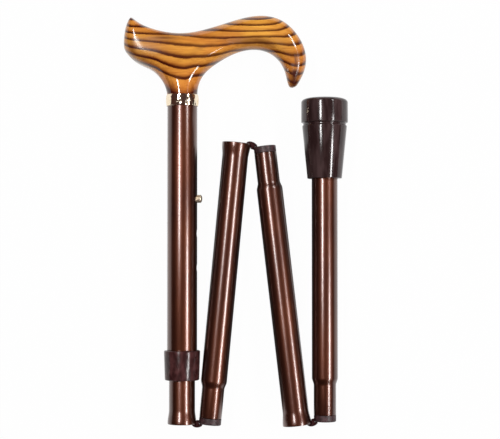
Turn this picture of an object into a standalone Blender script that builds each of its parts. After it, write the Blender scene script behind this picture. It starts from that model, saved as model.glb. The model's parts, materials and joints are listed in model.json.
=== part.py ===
"""Folding walking cane with a derby handle, folded up and lying on its side.

Metres, +Z up. The handle is at +Y and the cane zigzags towards +X in four sections: the handle
section with its telescoping tube, two middle sections and the foot section. Each section has its own
frame: local Z runs along its tube, away from the neck that plugs into the section before it, and
local X points at the section that comes next. The axes of all four lie in one level plane.
"""

import math
from dataclasses import dataclass

import bmesh
import bpy
from mathutils import Matrix, Vector

MM = 0.001

# Gaps between pieces
TOUCH_GAP = 0.3 * MM
TELESCOPE_GAP = 0.2 * MM
SOCKET_GAP = 0.15 * MM
FOLD_GAP = 0.3 * MM

# Roundness of the turned pieces
TUBE_SIDES = 32
SMALL_SIDES = 16
SHARP_ANGLE = math.radians(35)
ROUNDING_STEPS = 3

# Lower tubes: a narrowed neck at one end, a flared socket at the other
TUBE_RADIUS = 9.5 * MM
TUBE_WALL = 1.2 * MM
NECK_STRAIGHT = 24.6 * MM
NECK_TAPER = 7.5 * MM
FLARE_LENGTH = 10.5 * MM
FLARE_RISE = 1.05 * MM
FLARE_LIP = 1.0 * MM

# Sections, along their own axes
SECTION_2_LENGTH = 207.5 * MM
SECTION_3_LENGTH = 205.8 * MM
SECTION_4_LENGTH = 227.4 * MM
SECTION_2_TILT = math.radians(5.4)
SECTION_3_TILT = math.radians(6.65)

# Fold pivots: how far the ends that meet there stand back from the pivot
RIM_SETBACK = 0.5 * MM
NECK_2_SETBACK = 1.0 * MM
NECK_3_SETBACK = 3.15 * MM
NECK_4_SETBACK = 1.8 * MM

# Handle section: heights are above the mouth of its telescoping tube
FIRST_AXIS_X = -39.5 * MM
MOUTH_Y = -148.6 * MM
OUTER_TUBE_WALL = 1.3 * MM
OUTER_TUBE_LOW = 45.0 * MM
OUTER_TUBE_LENGTH = 192.3 * MM
INNER_TUBE_CLEARANCE = 1.3 * MM
HOLE_PITCH = 25.4 * MM
HOLE_COUNT = 3
TOP_HOLE_DROP = 72.4 * MM

# Snap button and its spring
BUTTON_RADIUS = 2.9 * MM
BUTTON_PROUD = 3.7 * MM
BUTTON_DOME = 1.3 * MM
BUTTON_DOME_STEPS = 4
BUTTON_FLANGE_RADIUS = 4.0 * MM
BUTTON_FLANGE = 0.8 * MM
SPRING_WIDTH = 6.0 * MM
SPRING_THICKNESS = 0.8 * MM
SPRING_TAIL = 6.0 * MM
SPRING_LEG = 18.0 * MM
SPRING_TURN_STEPS = 10

# Locking collar and the split bush under it
COLLAR_LOW = 32.0 * MM
COLLAR_LENGTH = 21.7 * MM
COLLAR_WALL = 1.0 * MM
COLLAR_TAPER = 0.6 * MM
COLLAR_LIP = 1.5 * MM
COLLAR_ROUNDING = 0.9 * MM
COLLAR_FLOOR = 2.5 * MM
BUSH_WALL = 0.65 * MM
BUSH_CONE_LENGTH = 3.5 * MM
BUSH_CONE_DROP = 1.6 * MM
BUSH_SLOT = 1.0 * MM
BUSH_SLOT_LENGTH = 7.0 * MM
BUSH_SLOTS = 3

# Brass ring that hides the joint between handle and tube
RING_LENGTH = 8.4 * MM
RING_EDGE = 0.3 * MM
RING_CROWN = 0.85 * MM
RING_OVER_TUBE = 4.2 * MM
RING_BARREL_STEPS = 6

# What fastens the handle
PLUG_LENGTH = 30.0 * MM
SCREW_RADIUS = 2.1 * MM
SCREW_HEAD_RADIUS = 4.2 * MM
SCREW_HEAD = 2.4 * MM
SCREW_LENGTH = 48.0 * MM
SCREW_POINT = 6.0 * MM
SCREW_PILOT_RUNOUT = 1.0 * MM

# Neck caps, which guide the elastic into each narrowed end
CAP_FLANGE = 3.8 * MM
CAP_PLUG_LENGTH = 8.0 * MM
CAP_BORE_RADIUS = 2.6 * MM
CAP_MOUTH_ROUNDING = 2.8 * MM
CAP_EDGE = 0.7 * MM
CAP_MOUTH_STEPS = 5

# Elastic cord and what anchors its two ends
CORD_RADIUS = 1.6 * MM
BEND_THICKNESS = 2.2 * MM
BEND_WIDTH = 4.4 * MM
BEND_RESOLUTION = 2
BEND_STRAIGHT = 6.0 * MM
BEND_LEAN = 4.4 * MM
BEND_INTO_CAP = 2.5 * MM
BEND_OFF_AXIS = 0.7 * MM
CORD_IN_SOCKET = 33.5 * MM
CORD_IN_CAP = 6.0 * MM
CORD_POINT_SPACING = 1.6 * MM
ANCHOR_LENGTH = 12.0 * MM
ANCHOR_CHAMFER = 1.0 * MM
TOP_ANCHOR_DROP = 34.9 * MM
FOOT_ANCHOR_DEPTH = 22.0 * MM
CRIMP_WALL = 1.3 * MM
CRIMP_LENGTH = 7.0 * MM
CRIMP_CHAMFER = 0.5 * MM
CORD_TAIL = 0.6 * MM

# Rubber foot
FOOT_RADIUS = 17.2 * MM
FOOT_THICKNESS = 7.7 * MM
FOOT_RIM_LENGTH = 17.9 * MM
FOOT_ROUNDING = 2.4 * MM
FOOT_ROUNDING_STEPS = 4
FOOT_GROOVE_WIDTH = 2.5 * MM
FOOT_GROOVE_DEPTH = 1.5 * MM
FOOT_GROOVE_SLOPE = 0.6 * MM
FERRULE_LENGTH = 59.1 * MM
FERRULE_SHOULDER_RADIUS = 16.5 * MM
FERRULE_LIP_RADIUS = 12.65 * MM
FERRULE_LIP_ROUNDING = 0.8 * MM
TREAD_RADII = (8.0 * MM, 11.6 * MM)
TREAD_WIDTH = 1.3 * MM
TREAD_DEPTH = 1.2 * MM
WASHER_THICKNESS = 1.5 * MM

# Length of the marks that show the frames
FRAME_MARK = 10.0 * MM

# Sizes that follow from the ones above
BORE_RADIUS = TUBE_RADIUS - TUBE_WALL
NECK_RADIUS = BORE_RADIUS - SOCKET_GAP
NECK_LENGTH = NECK_STRAIGHT + NECK_TAPER
FLARE_RADIUS = TUBE_RADIUS + FLARE_RISE
FLARE_BORE = FLARE_RADIUS - TUBE_WALL
OUTER_BORE_RADIUS = TUBE_RADIUS + TELESCOPE_GAP
OUTER_TUBE_RADIUS = OUTER_BORE_RADIUS + OUTER_TUBE_WALL
OUTER_TUBE_TOP = OUTER_TUBE_LOW + OUTER_TUBE_LENGTH
INNER_TUBE_LENGTH = OUTER_TUBE_TOP - PLUG_LENGTH - INNER_TUBE_CLEARANCE
BUTTON_HEIGHT = OUTER_TUBE_TOP - TOP_HOLE_DROP
TOP_ANCHOR_HEIGHT = BUTTON_HEIGHT - TOP_ANCHOR_DROP
HOLE_RADIUS = BUTTON_RADIUS + TELESCOPE_GAP
COLLAR_TOP = COLLAR_LOW + COLLAR_LENGTH
RING_TOP = OUTER_TUBE_TOP + RING_OVER_TUBE
FOLD_OFFSET = (FLARE_RADIUS + TUBE_RADIUS + FOLD_GAP) / 2
FERRULE_BORE_RADIUS = TUBE_RADIUS + TOUCH_GAP
FOOT_FACE = SECTION_4_LENGTH + WASHER_THICKNESS + FOOT_THICKNESS + 2 * TOUCH_GAP
LEVEL = FOOT_RADIUS

# Derby handle. Each station is one slice across it: the point on its top edge and the point on its
# lower edge, along and above the tube's axis where the brass ring ends, half the slice's width, and
# its leanness, which is 1 for an ellipse and less where its sides are flatter.
HANDLE_STATIONS = (
    ((-37.7, 56.4), (-40.3, 29.8), 13.4, 0.42),
    ((-32.1, 52.8), (-33.8, 23.2), 15.6, 0.46),
    ((-24.8, 49.4), (-24.2, 19.6), 15.7, 0.5),
    ((-13.7, 46.2), (-15.0, 17.0), 15.7, 0.5),
    ((-2.7, 45.1), (-3.5, 15.5), 15.7, 0.65),
    ((8.3, 46.2), (8.5, 16.0), 15.4, 0.82),
    ((19.3, 49.1), (20.2, 19.8), 13.8, 1.0),
    ((30.4, 52.5), (30.8, 27.0), 12.7, 1.0),
    ((41.4, 56.1), (41.0, 31.8), 12.4, 1.0),
    ((52.4, 58.6), (50.5, 33.8), 12.4, 1.0),
    ((63.2, 58.8), (58.8, 33.2), 12.4, 0.88),
    ((74.6, 55.3), (65.6, 30.4), 12.2, 0.75),
    ((83.8, 46.6), (70.6, 26.2), 11.7, 0.63),
    ((89.6, 36.8), (73.8, 21.4), 10.9, 0.72),
    ((91.9, 27.0), (75.6, 17.2), 10.0, 0.82),
    ((90.4, 17.9), (76.6, 13.0), 8.8, 0.9),
    ((86.6, 10.4), (77.4, 9.2), 6.0, 0.9),
)
HANDLE_SIDES = 16
TAIL_MIDDLE = (-43.3, 42.3)
TAIL_SHRINK = 0.6
TIP_MIDDLE = (81.2, 5.2)
TIP_SHRINK = 0.5

# The stem leaves the handle's underside after the tail's stations, over as many sides of the cage as
# stations. Each flare is one slice across it: its height above the ring, its reach towards the tail
# and towards the nose, and half its width.
TAIL_STATION_COUNT = 2
STEM_STATION_COUNT = 4
STEM_FLARES = ((14.6, 17.6, 15.1, 11.0), (7.4, 12.7, 11.5, 10.8))
STEM_EDGE = 0.4 * MM


def clear_scene():
    for old in list(bpy.data.objects):
        bpy.data.objects.remove(old, do_unlink=True)


# Materials


def make_material(name, colour, roughness, metallic=0.0):
    material = bpy.data.materials.new(name)
    material.use_nodes = True
    shader = material.node_tree.nodes["Principled BSDF"]
    shader.inputs["Base Color"].default_value = (*colour, 1.0)
    shader.inputs["Roughness"].default_value = roughness
    shader.inputs["Metallic"].default_value = metallic
    material.diffuse_color = (*colour, 1.0)
    return material


def make_materials():
    return {
        "wood": make_material("lacquered_wood", (0.55, 0.25, 0.06), 0.25),
        "brass": make_material("polished_brass", (0.86, 0.66, 0.35), 0.18, 1.0),
        "bronze": make_material("bronze_tube", (0.11, 0.045, 0.03), 0.2, 0.9),
        "collar": make_material("brown_plastic", (0.05, 0.022, 0.017), 0.35),
        "plastic": make_material("black_plastic", (0.03, 0.02, 0.018), 0.5),
        "nylon": make_material("white_nylon", (0.75, 0.74, 0.7), 0.45),
        "cord": make_material("elastic_cord", (0.025, 0.018, 0.016), 0.8),
        "rubber": make_material("brown_rubber", (0.035, 0.022, 0.02), 0.55),
        "steel": make_material("steel", (0.6, 0.6, 0.6), 0.3, 1.0),
    }


# Frames


def make_frame(name, matrix, parent=None):
    """An empty on a joint's axis, standing at matrix in the world."""
    empty = bpy.data.objects.new(name, None)
    empty.empty_display_size = FRAME_MARK
    bpy.context.scene.collection.objects.link(empty)
    if parent:
        empty.parent = parent
        empty.matrix_local = parent.matrix_world.inverted() @ matrix
    else:
        empty.matrix_local = matrix
    bpy.context.view_layer.update()
    return empty


def frame_matrix(origin, along, across):
    """Local Z runs along, local X across."""
    side = along.cross(across)
    turn = Matrix((across, side, along)).transposed()
    return Matrix.Translation(origin) @ turn.to_4x4()


def section_matrix(neck_end, angle, downwards):
    """A section's frame, whose tube leans by angle from +Y, or from -Y, towards +X."""
    rise = -1.0 if downwards else 1.0
    along = Vector((math.sin(angle), rise * math.cos(angle), 0.0))
    across = Vector((math.cos(angle), -rise * math.sin(angle), 0.0))
    return frame_matrix(neck_end, along, across)


@dataclass(frozen=True)
class Socket:
    """A flared end: its section's frame, its rim's height there and the way it opens, 1 or -1."""

    section: bpy.types.Object
    rim: float
    outwards: float

    def point(self, across, depth):
        """A place that far from the socket's axis, towards the next section, and in from its rim."""
        height = self.rim - self.outwards * depth
        return self.section.matrix_world @ Vector((across, 0.0, height))


def fold_frames(number, socket, setback, angle, downwards):
    """The pivot past a socket's rim, and the frame of the section whose neck folds about it."""
    pivot = socket.point(FOLD_OFFSET, -RIM_SETBACK)
    hinge = make_frame(f"fold_{number - 1}_axis", Matrix.Translation(pivot), socket.section)
    turned = section_matrix(Vector(), angle, downwards)
    neck_end = pivot + turned @ Vector((FOLD_OFFSET, 0.0, setback))
    matrix = section_matrix(neck_end, angle, downwards)
    return hinge, make_frame(f"section_{number}_frame", matrix, hinge)


# Mesh helpers


def finish_mesh(name, bm, frame, material):
    bmesh.ops.recalc_face_normals(bm, faces=bm.faces)
    mesh = bpy.data.meshes.new(name)
    bm.to_mesh(mesh)
    bm.free()
    mesh.shade_smooth()
    mesh.set_sharp_from_angle(angle=SHARP_ANGLE)
    obj = bpy.data.objects.new(name, mesh)
    bpy.context.scene.collection.objects.link(obj)
    obj.parent = frame
    if material:
        mesh.materials.append(material)
    return obj


def turned_piece(name, profile, frame, material, sides=TUBE_SIDES):
    """Spins a profile of (radius, height) points about the frame's Z.

    A profile that starts and ends on the axis is an open line; any other closes on itself.
    """
    bm = bmesh.new()
    points = [bm.verts.new((radius, 0.0, height)) for radius, height in profile]
    follower = points[1:] if profile[0][0] == 0.0 else points[1:] + points[:1]
    edges = [bm.edges.new(pair) for pair in zip(points, follower)]
    bmesh.ops.spin(
        bm, geom=points + edges, axis=(0, 0, 1), cent=(0, 0, 0), angle=math.tau, steps=sides
    )
    bmesh.ops.remove_doubles(bm, verts=bm.verts, dist=MM / 1000)
    return finish_mesh(name, bm, frame, material)


def arc(centre, radius, start, end, steps=ROUNDING_STEPS):
    """Points on a circle in a profile, from one angle to another, in degrees."""
    angles = [math.radians(start + (end - start) * i / steps) for i in range(steps + 1)]
    return [
        (centre[0] + radius * math.cos(a), centre[1] + radius * math.sin(a)) for a in angles
    ]


def cut(target, cutter):
    cutter.hide_render = True
    cutter.display_type = "WIRE"
    modifier = target.modifiers.new(cutter.name, "BOOLEAN")
    modifier.operation = "DIFFERENCE"
    modifier.object = cutter


def cross_drill(target, frame, height, radius, reach):
    """Drills from the tube's axis out through its wall, towards the frame's +X."""
    name = f"{target.name}_drill_{len(target.modifiers) + 1}"
    profile = [(0.0, 0.0), (radius, 0.0), (radius, reach), (0.0, reach)]
    drill = turned_piece(name, profile, frame, None, SMALL_SIDES)
    drill.rotation_euler.y = math.pi / 2
    drill.location.z = height
    cut(target, drill)


# Tubes


def flared_end(length):
    """The profile of a socket at the end of a tube, from its outside round the rim to its bore."""
    return [
        (TUBE_RADIUS, length - FLARE_LENGTH),
        (FLARE_RADIUS, length - FLARE_LIP),
        (FLARE_RADIUS, length),
        (FLARE_BORE, length),
        (BORE_RADIUS, length - FLARE_LENGTH),
    ]


def neck_profile():
    """The profile of a neck, from its bore round its end and up its outside."""
    end = CAP_FLANGE + TOUCH_GAP
    bore = NECK_RADIUS - TUBE_WALL
    return [
        (BORE_RADIUS, NECK_LENGTH),
        (bore, NECK_STRAIGHT),
        (bore, end),
        (NECK_RADIUS, end),
        (NECK_RADIUS, NECK_STRAIGHT),
        (TUBE_RADIUS, NECK_LENGTH),
    ]


def middle_tube(name, length, frame, material):
    return turned_piece(name, neck_profile() + flared_end(length), frame, material)


def foot_tube(frame, material):
    end = [(TUBE_RADIUS, SECTION_4_LENGTH), (BORE_RADIUS, SECTION_4_LENGTH)]
    return turned_piece("section_4_tube", neck_profile() + end, frame, material)


def outer_tube(frame, material):
    profile = [
        (OUTER_BORE_RADIUS, OUTER_TUBE_LOW),
        (OUTER_TUBE_RADIUS, OUTER_TUBE_LOW),
        (OUTER_TUBE_RADIUS, OUTER_TUBE_TOP),
        (OUTER_BORE_RADIUS, OUTER_TUBE_TOP),
    ]
    tube = turned_piece("outer_tube", profile, frame, material)
    for number in range(HOLE_COUNT):
        height = BUTTON_HEIGHT - number * HOLE_PITCH
        cross_drill(tube, frame, height, HOLE_RADIUS, 2 * OUTER_TUBE_RADIUS)
    return tube


def inner_tube(frame, material):
    """Its frame stands at the mouth with Z into the tube, so the flare is turned upside down."""
    flare = [(radius, -height) for radius, height in flared_end(0.0)]
    top = [(BORE_RADIUS, INNER_TUBE_LENGTH), (TUBE_RADIUS, INNER_TUBE_LENGTH)]
    tube = turned_piece("inner_tube", flare + top, frame, material)
    cross_drill(tube, frame, BUTTON_HEIGHT, HOLE_RADIUS, 2 * TUBE_RADIUS)
    return tube


# Handle


def cage_swell():
    """Smoothing draws a round cage in. This much wider, it comes back to the size it was given."""
    return 3 / (2 + math.cos(math.tau / HANDLE_SIDES))


def stem_sides():
    """The sides of the cage under the handle that the stem leaves from."""
    low = (HANDLE_SIDES - STEM_STATION_COUNT) // 2
    return range(low, low + STEM_STATION_COUNT)


def ring_of_station(bm, top, low, half_width, leanness, base):
    """One slice of the handle's cage, from its top round to its lower edge and back."""
    swell = cage_swell()
    middle = (Vector(top) + Vector(low)) / 2
    half = (Vector(top) - Vector(low)) / 2
    ring = []
    for side in range(HANDLE_SIDES):
        angle = math.tau * side / HANDLE_SIDES
        point = middle + half * math.cos(angle) * swell
        depth = half_width * abs(math.sin(angle)) ** leanness
        across = math.copysign(depth, math.sin(angle)) * swell
        ring.append(bm.verts.new((point.x * MM, across * MM, base + point.y * MM)))
    return ring


def ring_of_stem(bm, height, left, right, half_width):
    """One ring of the stem's cage, starting at +X."""
    swell = cage_swell()
    ring = []
    for side in range(HANDLE_SIDES):
        angle = math.tau * side / HANDLE_SIDES
        reach = right if math.cos(angle) > 0 else left
        x = reach * math.cos(angle) * swell
        y = half_width * math.sin(angle) * swell
        ring.append(bm.verts.new((x, y, height)))
    return ring


def bridge(bm, first, second, skipped=()):
    for side in range(HANDLE_SIDES):
        if side in skipped:
            continue
        after = (side + 1) % HANDLE_SIDES
        bm.faces.new((first[side], first[after], second[after], second[side]))


def closing_ring(bm, ring, place, shrink):
    """A smaller copy of an end ring, with its middle moved to place."""
    middle = sum((vertex.co for vertex in ring), Vector()) / len(ring)
    moved = Vector((place[0] * MM, 0.0, RING_TOP + place[1] * MM))
    return [bm.verts.new(moved + (vertex.co - middle) * shrink) for vertex in ring]


def stem_opening(rings):
    """The cage's points round the hole under the handle, in the order of the stem's rings."""
    first = TAIL_STATION_COUNT
    last = first + STEM_STATION_COUNT
    near, far = stem_sides().start, stem_sides().stop
    underside = HANDLE_SIDES // 2
    right = [rings[last][side] for side in range(underside, near - 1, -1)]
    back = [rings[station][near] for station in range(last - 1, first, -1)]
    left = [rings[first][side] for side in range(near, far + 1)]
    front = [rings[station][far] for station in range(first + 1, last)]
    start = [rings[last][side] for side in range(far, underside, -1)]
    return right + back + left + front + start


def handle(frame, material):
    bm = bmesh.new()
    rings = [ring_of_station(bm, *station, RING_TOP) for station in HANDLE_STATIONS]
    for number, (first, second) in enumerate(zip(rings, rings[1:])):
        over_stem = number in range(TAIL_STATION_COUNT, TAIL_STATION_COUNT + STEM_STATION_COUNT)
        bridge(bm, first, second, stem_sides() if over_stem else ())
    tail = closing_ring(bm, rings[0], TAIL_MIDDLE, TAIL_SHRINK)
    bridge(bm, tail, rings[0])
    bm.faces.new(tail)
    tip = closing_ring(bm, rings[-1], TIP_MIDDLE, TIP_SHRINK)
    bridge(bm, rings[-1], tip)
    bm.faces.new(tip)

    low = OUTER_TUBE_TOP + TOUCH_GAP
    upper = stem_opening(rings)
    for height, left, right, half_width in STEM_FLARES:
        ring = ring_of_stem(bm, RING_TOP + height * MM, left * MM, right * MM, half_width * MM)
        bridge(bm, upper, ring)
        upper = ring
    for height in (RING_TOP, low + STEM_EDGE, low):
        ring = ring_of_stem(bm, height, OUTER_TUBE_RADIUS, OUTER_TUBE_RADIUS, OUTER_TUBE_RADIUS)
        bridge(bm, upper, ring)
        upper = ring
    bm.faces.new(upper)

    obj = finish_mesh("handle", bm, frame, material)
    smooth = obj.modifiers.new("smooth", "SUBSURF")
    smooth.levels = 1
    smooth.render_levels = 1
    radius = SCREW_RADIUS + TOUCH_GAP
    tip_height = screw_tip() + TOUCH_GAP
    pilot = [
        (0.0, low - SCREW_PILOT_RUNOUT),
        (radius, low - SCREW_PILOT_RUNOUT),
        (radius, tip_height - SCREW_POINT),
        (0.0, tip_height),
    ]
    cut(obj, turned_piece("screw_pilot", pilot, frame, None, SMALL_SIDES))
    return obj


def screw_tip():
    return OUTER_TUBE_TOP - PLUG_LENGTH + SCREW_LENGTH


def handle_plug(frame, material):
    radius = OUTER_BORE_RADIUS - TOUCH_GAP
    low = OUTER_TUBE_TOP - PLUG_LENGTH
    hole = SCREW_RADIUS + TOUCH_GAP
    sink = SCREW_HEAD_RADIUS + TOUCH_GAP
    sink_depth = SCREW_HEAD + TOUCH_GAP
    profile = [
        (sink, low),
        (radius, low),
        (radius, OUTER_TUBE_TOP),
        (hole, OUTER_TUBE_TOP),
        (hole, low + sink_depth),
    ]
    return turned_piece("handle_plug", profile, frame, material)


def handle_screw(frame, material):
    low = OUTER_TUBE_TOP - PLUG_LENGTH
    tip = screw_tip()
    profile = [
        (0.0, low),
        (SCREW_HEAD_RADIUS, low),
        (SCREW_RADIUS, low + SCREW_HEAD),
        (SCREW_RADIUS, tip - SCREW_POINT),
        (0.0, tip),
    ]
    return turned_piece("handle_screw", profile, frame, material, SMALL_SIDES)


def brass_ring(frame, material):
    """A ring with a barrel outside, over the joint between the handle's stem and the tube."""
    bore = OUTER_TUBE_RADIUS + TOUCH_GAP
    low = RING_TOP - RING_LENGTH
    edge = bore + RING_EDGE
    barrel = []
    for step in range(RING_BARREL_STEPS + 1):
        share = step / RING_BARREL_STEPS
        crown = math.sqrt(1 - (2 * share - 1) ** 2)
        barrel.append((edge + (RING_CROWN - RING_EDGE) * crown, low + RING_LENGTH * share))
    return turned_piece("handle_ring", [(bore, low)] + barrel + [(bore, RING_TOP)], frame, material)


# Locking collar


def collar_bore():
    """The collar's inner radius over the bush, and the heights between which its cone narrows."""
    radius = OUTER_TUBE_RADIUS + TOUCH_GAP + BUSH_WALL + TOUCH_GAP
    cone_low = COLLAR_LOW + COLLAR_FLOOR
    return radius, cone_low, cone_low + BUSH_CONE_LENGTH


def locking_collar(frame, material):
    bore, cone_low, cone_high = collar_bore()
    top_radius = bore + COLLAR_WALL
    low_radius = top_radius - COLLAR_TAPER
    rounding = COLLAR_ROUNDING
    low_edge = arc((low_radius - rounding, COLLAR_LOW + rounding), rounding, -90, 0)
    top_edge = arc((top_radius - rounding, COLLAR_TOP - rounding), rounding, 0, 90)
    profile = low_edge + top_edge
    profile += [
        (OUTER_TUBE_RADIUS + TOUCH_GAP, COLLAR_TOP),
        (OUTER_TUBE_RADIUS + TOUCH_GAP, COLLAR_TOP - COLLAR_LIP),
        (bore, COLLAR_TOP - COLLAR_LIP),
        (bore, cone_high),
        (bore - BUSH_CONE_DROP, cone_low),
        (TUBE_RADIUS + TOUCH_GAP, cone_low),
        (TUBE_RADIUS + TOUCH_GAP, COLLAR_LOW),
    ]
    return turned_piece("locking_collar", profile, frame, material)


def collar_bush(frame, material):
    """Grips the outer tube's end; its split cone closes on the inner tube."""
    bore, cone_low, cone_high = collar_bore()
    outside = bore - TOUCH_GAP
    grip = OUTER_TUBE_RADIUS + TOUCH_GAP
    slide = TUBE_RADIUS + TOUCH_GAP
    top = COLLAR_TOP - COLLAR_LIP - TOUCH_GAP
    shelf = OUTER_TUBE_LOW - TOUCH_GAP
    profile = [
        (slide, cone_low + TOUCH_GAP),
        (outside - BUSH_CONE_DROP, cone_low + TOUCH_GAP),
        (outside, cone_high + TOUCH_GAP),
        (outside, top),
        (grip, top),
        (grip, shelf),
        (slide, shelf),
    ]
    bush = turned_piece("collar_bush", profile, frame, material)
    for number in range(BUSH_SLOTS):
        bm = bmesh.new()
        bmesh.ops.create_cube(bm, size=1.0)
        size = Vector((4 * OUTER_TUBE_RADIUS, BUSH_SLOT, 2 * BUSH_SLOT_LENGTH))
        bmesh.ops.scale(bm, vec=size, verts=bm.verts)
        slot = finish_mesh(f"bush_slot_{number + 1}", bm, frame, None)
        slot.location.z = cone_low
        slot.rotation_euler.z = math.pi * (number + 0.5) / BUSH_SLOTS
        cut(bush, slot)
    return bush


# Snap button


def flange_seat():
    """How far from the tube's axis the button's flange lies against the tube's round bore."""
    return math.sqrt((BORE_RADIUS - TOUCH_GAP) ** 2 - BUTTON_FLANGE_RADIUS**2)


def snap_button(frame, material):
    """Turned about the frame's Z, which points out of the tube."""
    seat = flange_seat()
    tip = OUTER_TUBE_RADIUS + BUTTON_PROUD
    dome = []
    for step in range(1, BUTTON_DOME_STEPS):
        angle = math.pi / 2 * step / BUTTON_DOME_STEPS
        height = tip - BUTTON_DOME + BUTTON_DOME * math.sin(angle)
        dome.append((BUTTON_RADIUS * math.cos(angle), height))
    dome.append((0.0, tip))
    profile = [
        (0.0, seat - BUTTON_FLANGE),
        (BUTTON_FLANGE_RADIUS, seat - BUTTON_FLANGE),
        (BUTTON_FLANGE_RADIUS, seat),
        (BUTTON_RADIUS, seat),
        (BUTTON_RADIUS, tip - BUTTON_DOME),
    ]
    return turned_piece("snap_button", profile + dome, frame, material, SMALL_SIDES)


def button_spring(frame, material):
    """A strip bent into a U: one leg under the button's flange, the other against the far wall."""
    near = flange_seat() - BUTTON_FLANGE - TOUCH_GAP - SPRING_THICKNESS / 2
    wall = math.sqrt((BORE_RADIUS - TOUCH_GAP) ** 2 - (SPRING_WIDTH / 2) ** 2)
    far = wall - SPRING_THICKNESS / 2
    turn_radius = (near + far) / 2
    turn_middle = (near - far) / 2
    turn_height = BUTTON_HEIGHT + SPRING_LEG
    route = [(near, BUTTON_HEIGHT - SPRING_TAIL)]
    route += arc((turn_middle, turn_height), turn_radius, 0, 180, SPRING_TURN_STEPS)
    route += [(-far, BUTTON_HEIGHT)]
    bm = bmesh.new()
    rows = []
    for x, z in route:
        rows.append([bm.verts.new((x, side * SPRING_WIDTH / 2, z)) for side in (-1, 1)])
    for low, high in zip(rows, rows[1:]):
        bm.faces.new((low[0], low[1], high[1], high[0]))
    spring = finish_mesh("button_spring", bm, frame, material)
    thicken = spring.modifiers.new("thickness", "SOLIDIFY")
    thicken.thickness = SPRING_THICKNESS
    thicken.offset = 0.0
    return spring


# Neck caps, anchors and crimps


def neck_cap(name, frame, material):
    """A cap over the neck's end, with a mouth that lets the elastic in round a bend."""
    plug_radius = NECK_RADIUS - TUBE_WALL - TOUCH_GAP
    mouth = CAP_BORE_RADIUS + CAP_MOUTH_ROUNDING
    funnel = arc((mouth, CAP_MOUTH_ROUNDING), CAP_MOUTH_ROUNDING, -180, -90, CAP_MOUTH_STEPS)
    profile = [
        (plug_radius, CAP_FLANGE + CAP_PLUG_LENGTH),
        (CAP_BORE_RADIUS, CAP_FLANGE + CAP_PLUG_LENGTH),
    ]
    profile += funnel
    profile += [
        (NECK_RADIUS - CAP_EDGE, 0.0),
        (NECK_RADIUS, CAP_EDGE),
        (NECK_RADIUS, CAP_FLANGE),
        (plug_radius, CAP_FLANGE),
    ]
    return turned_piece(name, profile, frame, material)


def cord_anchor(name, low, frame, material):
    """A plug in the tube, bored for the elastic."""
    radius = BORE_RADIUS - TOUCH_GAP
    bore = CORD_RADIUS + TOUCH_GAP
    profile = [
        (bore, low),
        (radius - ANCHOR_CHAMFER, low),
        (radius, low + ANCHOR_CHAMFER),
        (radius, low + ANCHOR_LENGTH - ANCHOR_CHAMFER),
        (radius - ANCHOR_CHAMFER, low + ANCHOR_LENGTH),
        (bore, low + ANCHOR_LENGTH),
    ]
    return turned_piece(name, profile, frame, material)


def cord_crimp(name, low, frame, material):
    """A sleeve squeezed onto the elastic's end, which stops it at its anchor."""
    bore = CORD_RADIUS + TOUCH_GAP
    radius = bore + CRIMP_WALL
    top = low + CRIMP_LENGTH
    profile = [
        (bore, low),
        (radius - CRIMP_CHAMFER, low),
        (radius, low + CRIMP_CHAMFER),
        (radius, top - CRIMP_CHAMFER),
        (radius - CRIMP_CHAMFER, top),
        (bore, top),
    ]
    return turned_piece(name, profile, frame, material, SMALL_SIDES)


# Elastic cord


def straight_cord(name, low, high, frame, material):
    profile = [(0.0, low), (CORD_RADIUS, low), (CORD_RADIUS, high), (0.0, high)]
    return turned_piece(name, profile, frame, material, SMALL_SIDES)


def smooth_route(points, spacing):
    """Evenly spaced points on a Catmull-Rom curve through the given ones."""
    padded = [2 * points[0] - points[1]] + points + [2 * points[-1] - points[-2]]
    route = [points[0]]
    for before, start, end, after in zip(padded, padded[1:], padded[2:], padded[3:]):
        steps = max(1, round((end - start).length / spacing))
        for step in range(1, steps + 1):
            t = step / steps
            route.append(
                0.5
                * (
                    2 * start
                    + (end - before) * t
                    + (2 * before - 5 * start + 4 * end - after) * t**2
                    + (3 * start - before - 3 * end + after) * t**3
                )
            )
    return route


def elastic_bend(name, socket, neck, pivot, material):
    """The stretch of elastic that leaves a socket over its rim and enters the next neck's cap."""
    rim_reach = TUBE_WALL / 2 + TOUCH_GAP + BEND_THICKNESS / 2
    rim_middle = FLARE_RADIUS - TUBE_WALL / 2

    def in_neck(across, depth):
        return neck.matrix_world @ Vector((across, 0.0, depth))

    over_rim = [
        socket.point(rim_middle + across, -beyond)
        for across, beyond in arc((0.0, 0.0), rim_reach, 180, 90)
    ]
    guides = [
        socket.point(0.0, CORD_IN_SOCKET - TOUCH_GAP),
        socket.point(0.0, CORD_IN_SOCKET - BEND_STRAIGHT),
        socket.point(BEND_LEAN, CORD_IN_SOCKET / 2),
        *over_rim,
        in_neck(-CAP_BORE_RADIUS - CAP_MOUTH_ROUNDING / 2, -BEND_THICKNESS / 2),
        in_neck(-BEND_OFF_AXIS, BEND_INTO_CAP),
        in_neck(0.0, CORD_IN_CAP - TOUCH_GAP),
    ]
    to_local = pivot.matrix_world.inverted()
    route = smooth_route([to_local @ point for point in guides], CORD_POINT_SPACING)
    curve = bpy.data.curves.new(name, "CURVE")
    curve.dimensions = "3D"
    curve.bevel_depth = BEND_THICKNESS / 2
    curve.bevel_resolution = BEND_RESOLUTION
    curve.use_fill_caps = True
    spline = curve.splines.new("POLY")
    spline.points.add(len(route) - 1)
    for point, place in zip(spline.points, route):
        point.co = (*place, 1.0)
    curve.materials.append(material)
    cord = bpy.data.objects.new(name, curve)
    bpy.context.scene.collection.objects.link(cord)
    cord.parent = pivot
    cord.scale.z = BEND_WIDTH / BEND_THICKNESS
    return cord


# Foot


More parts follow.
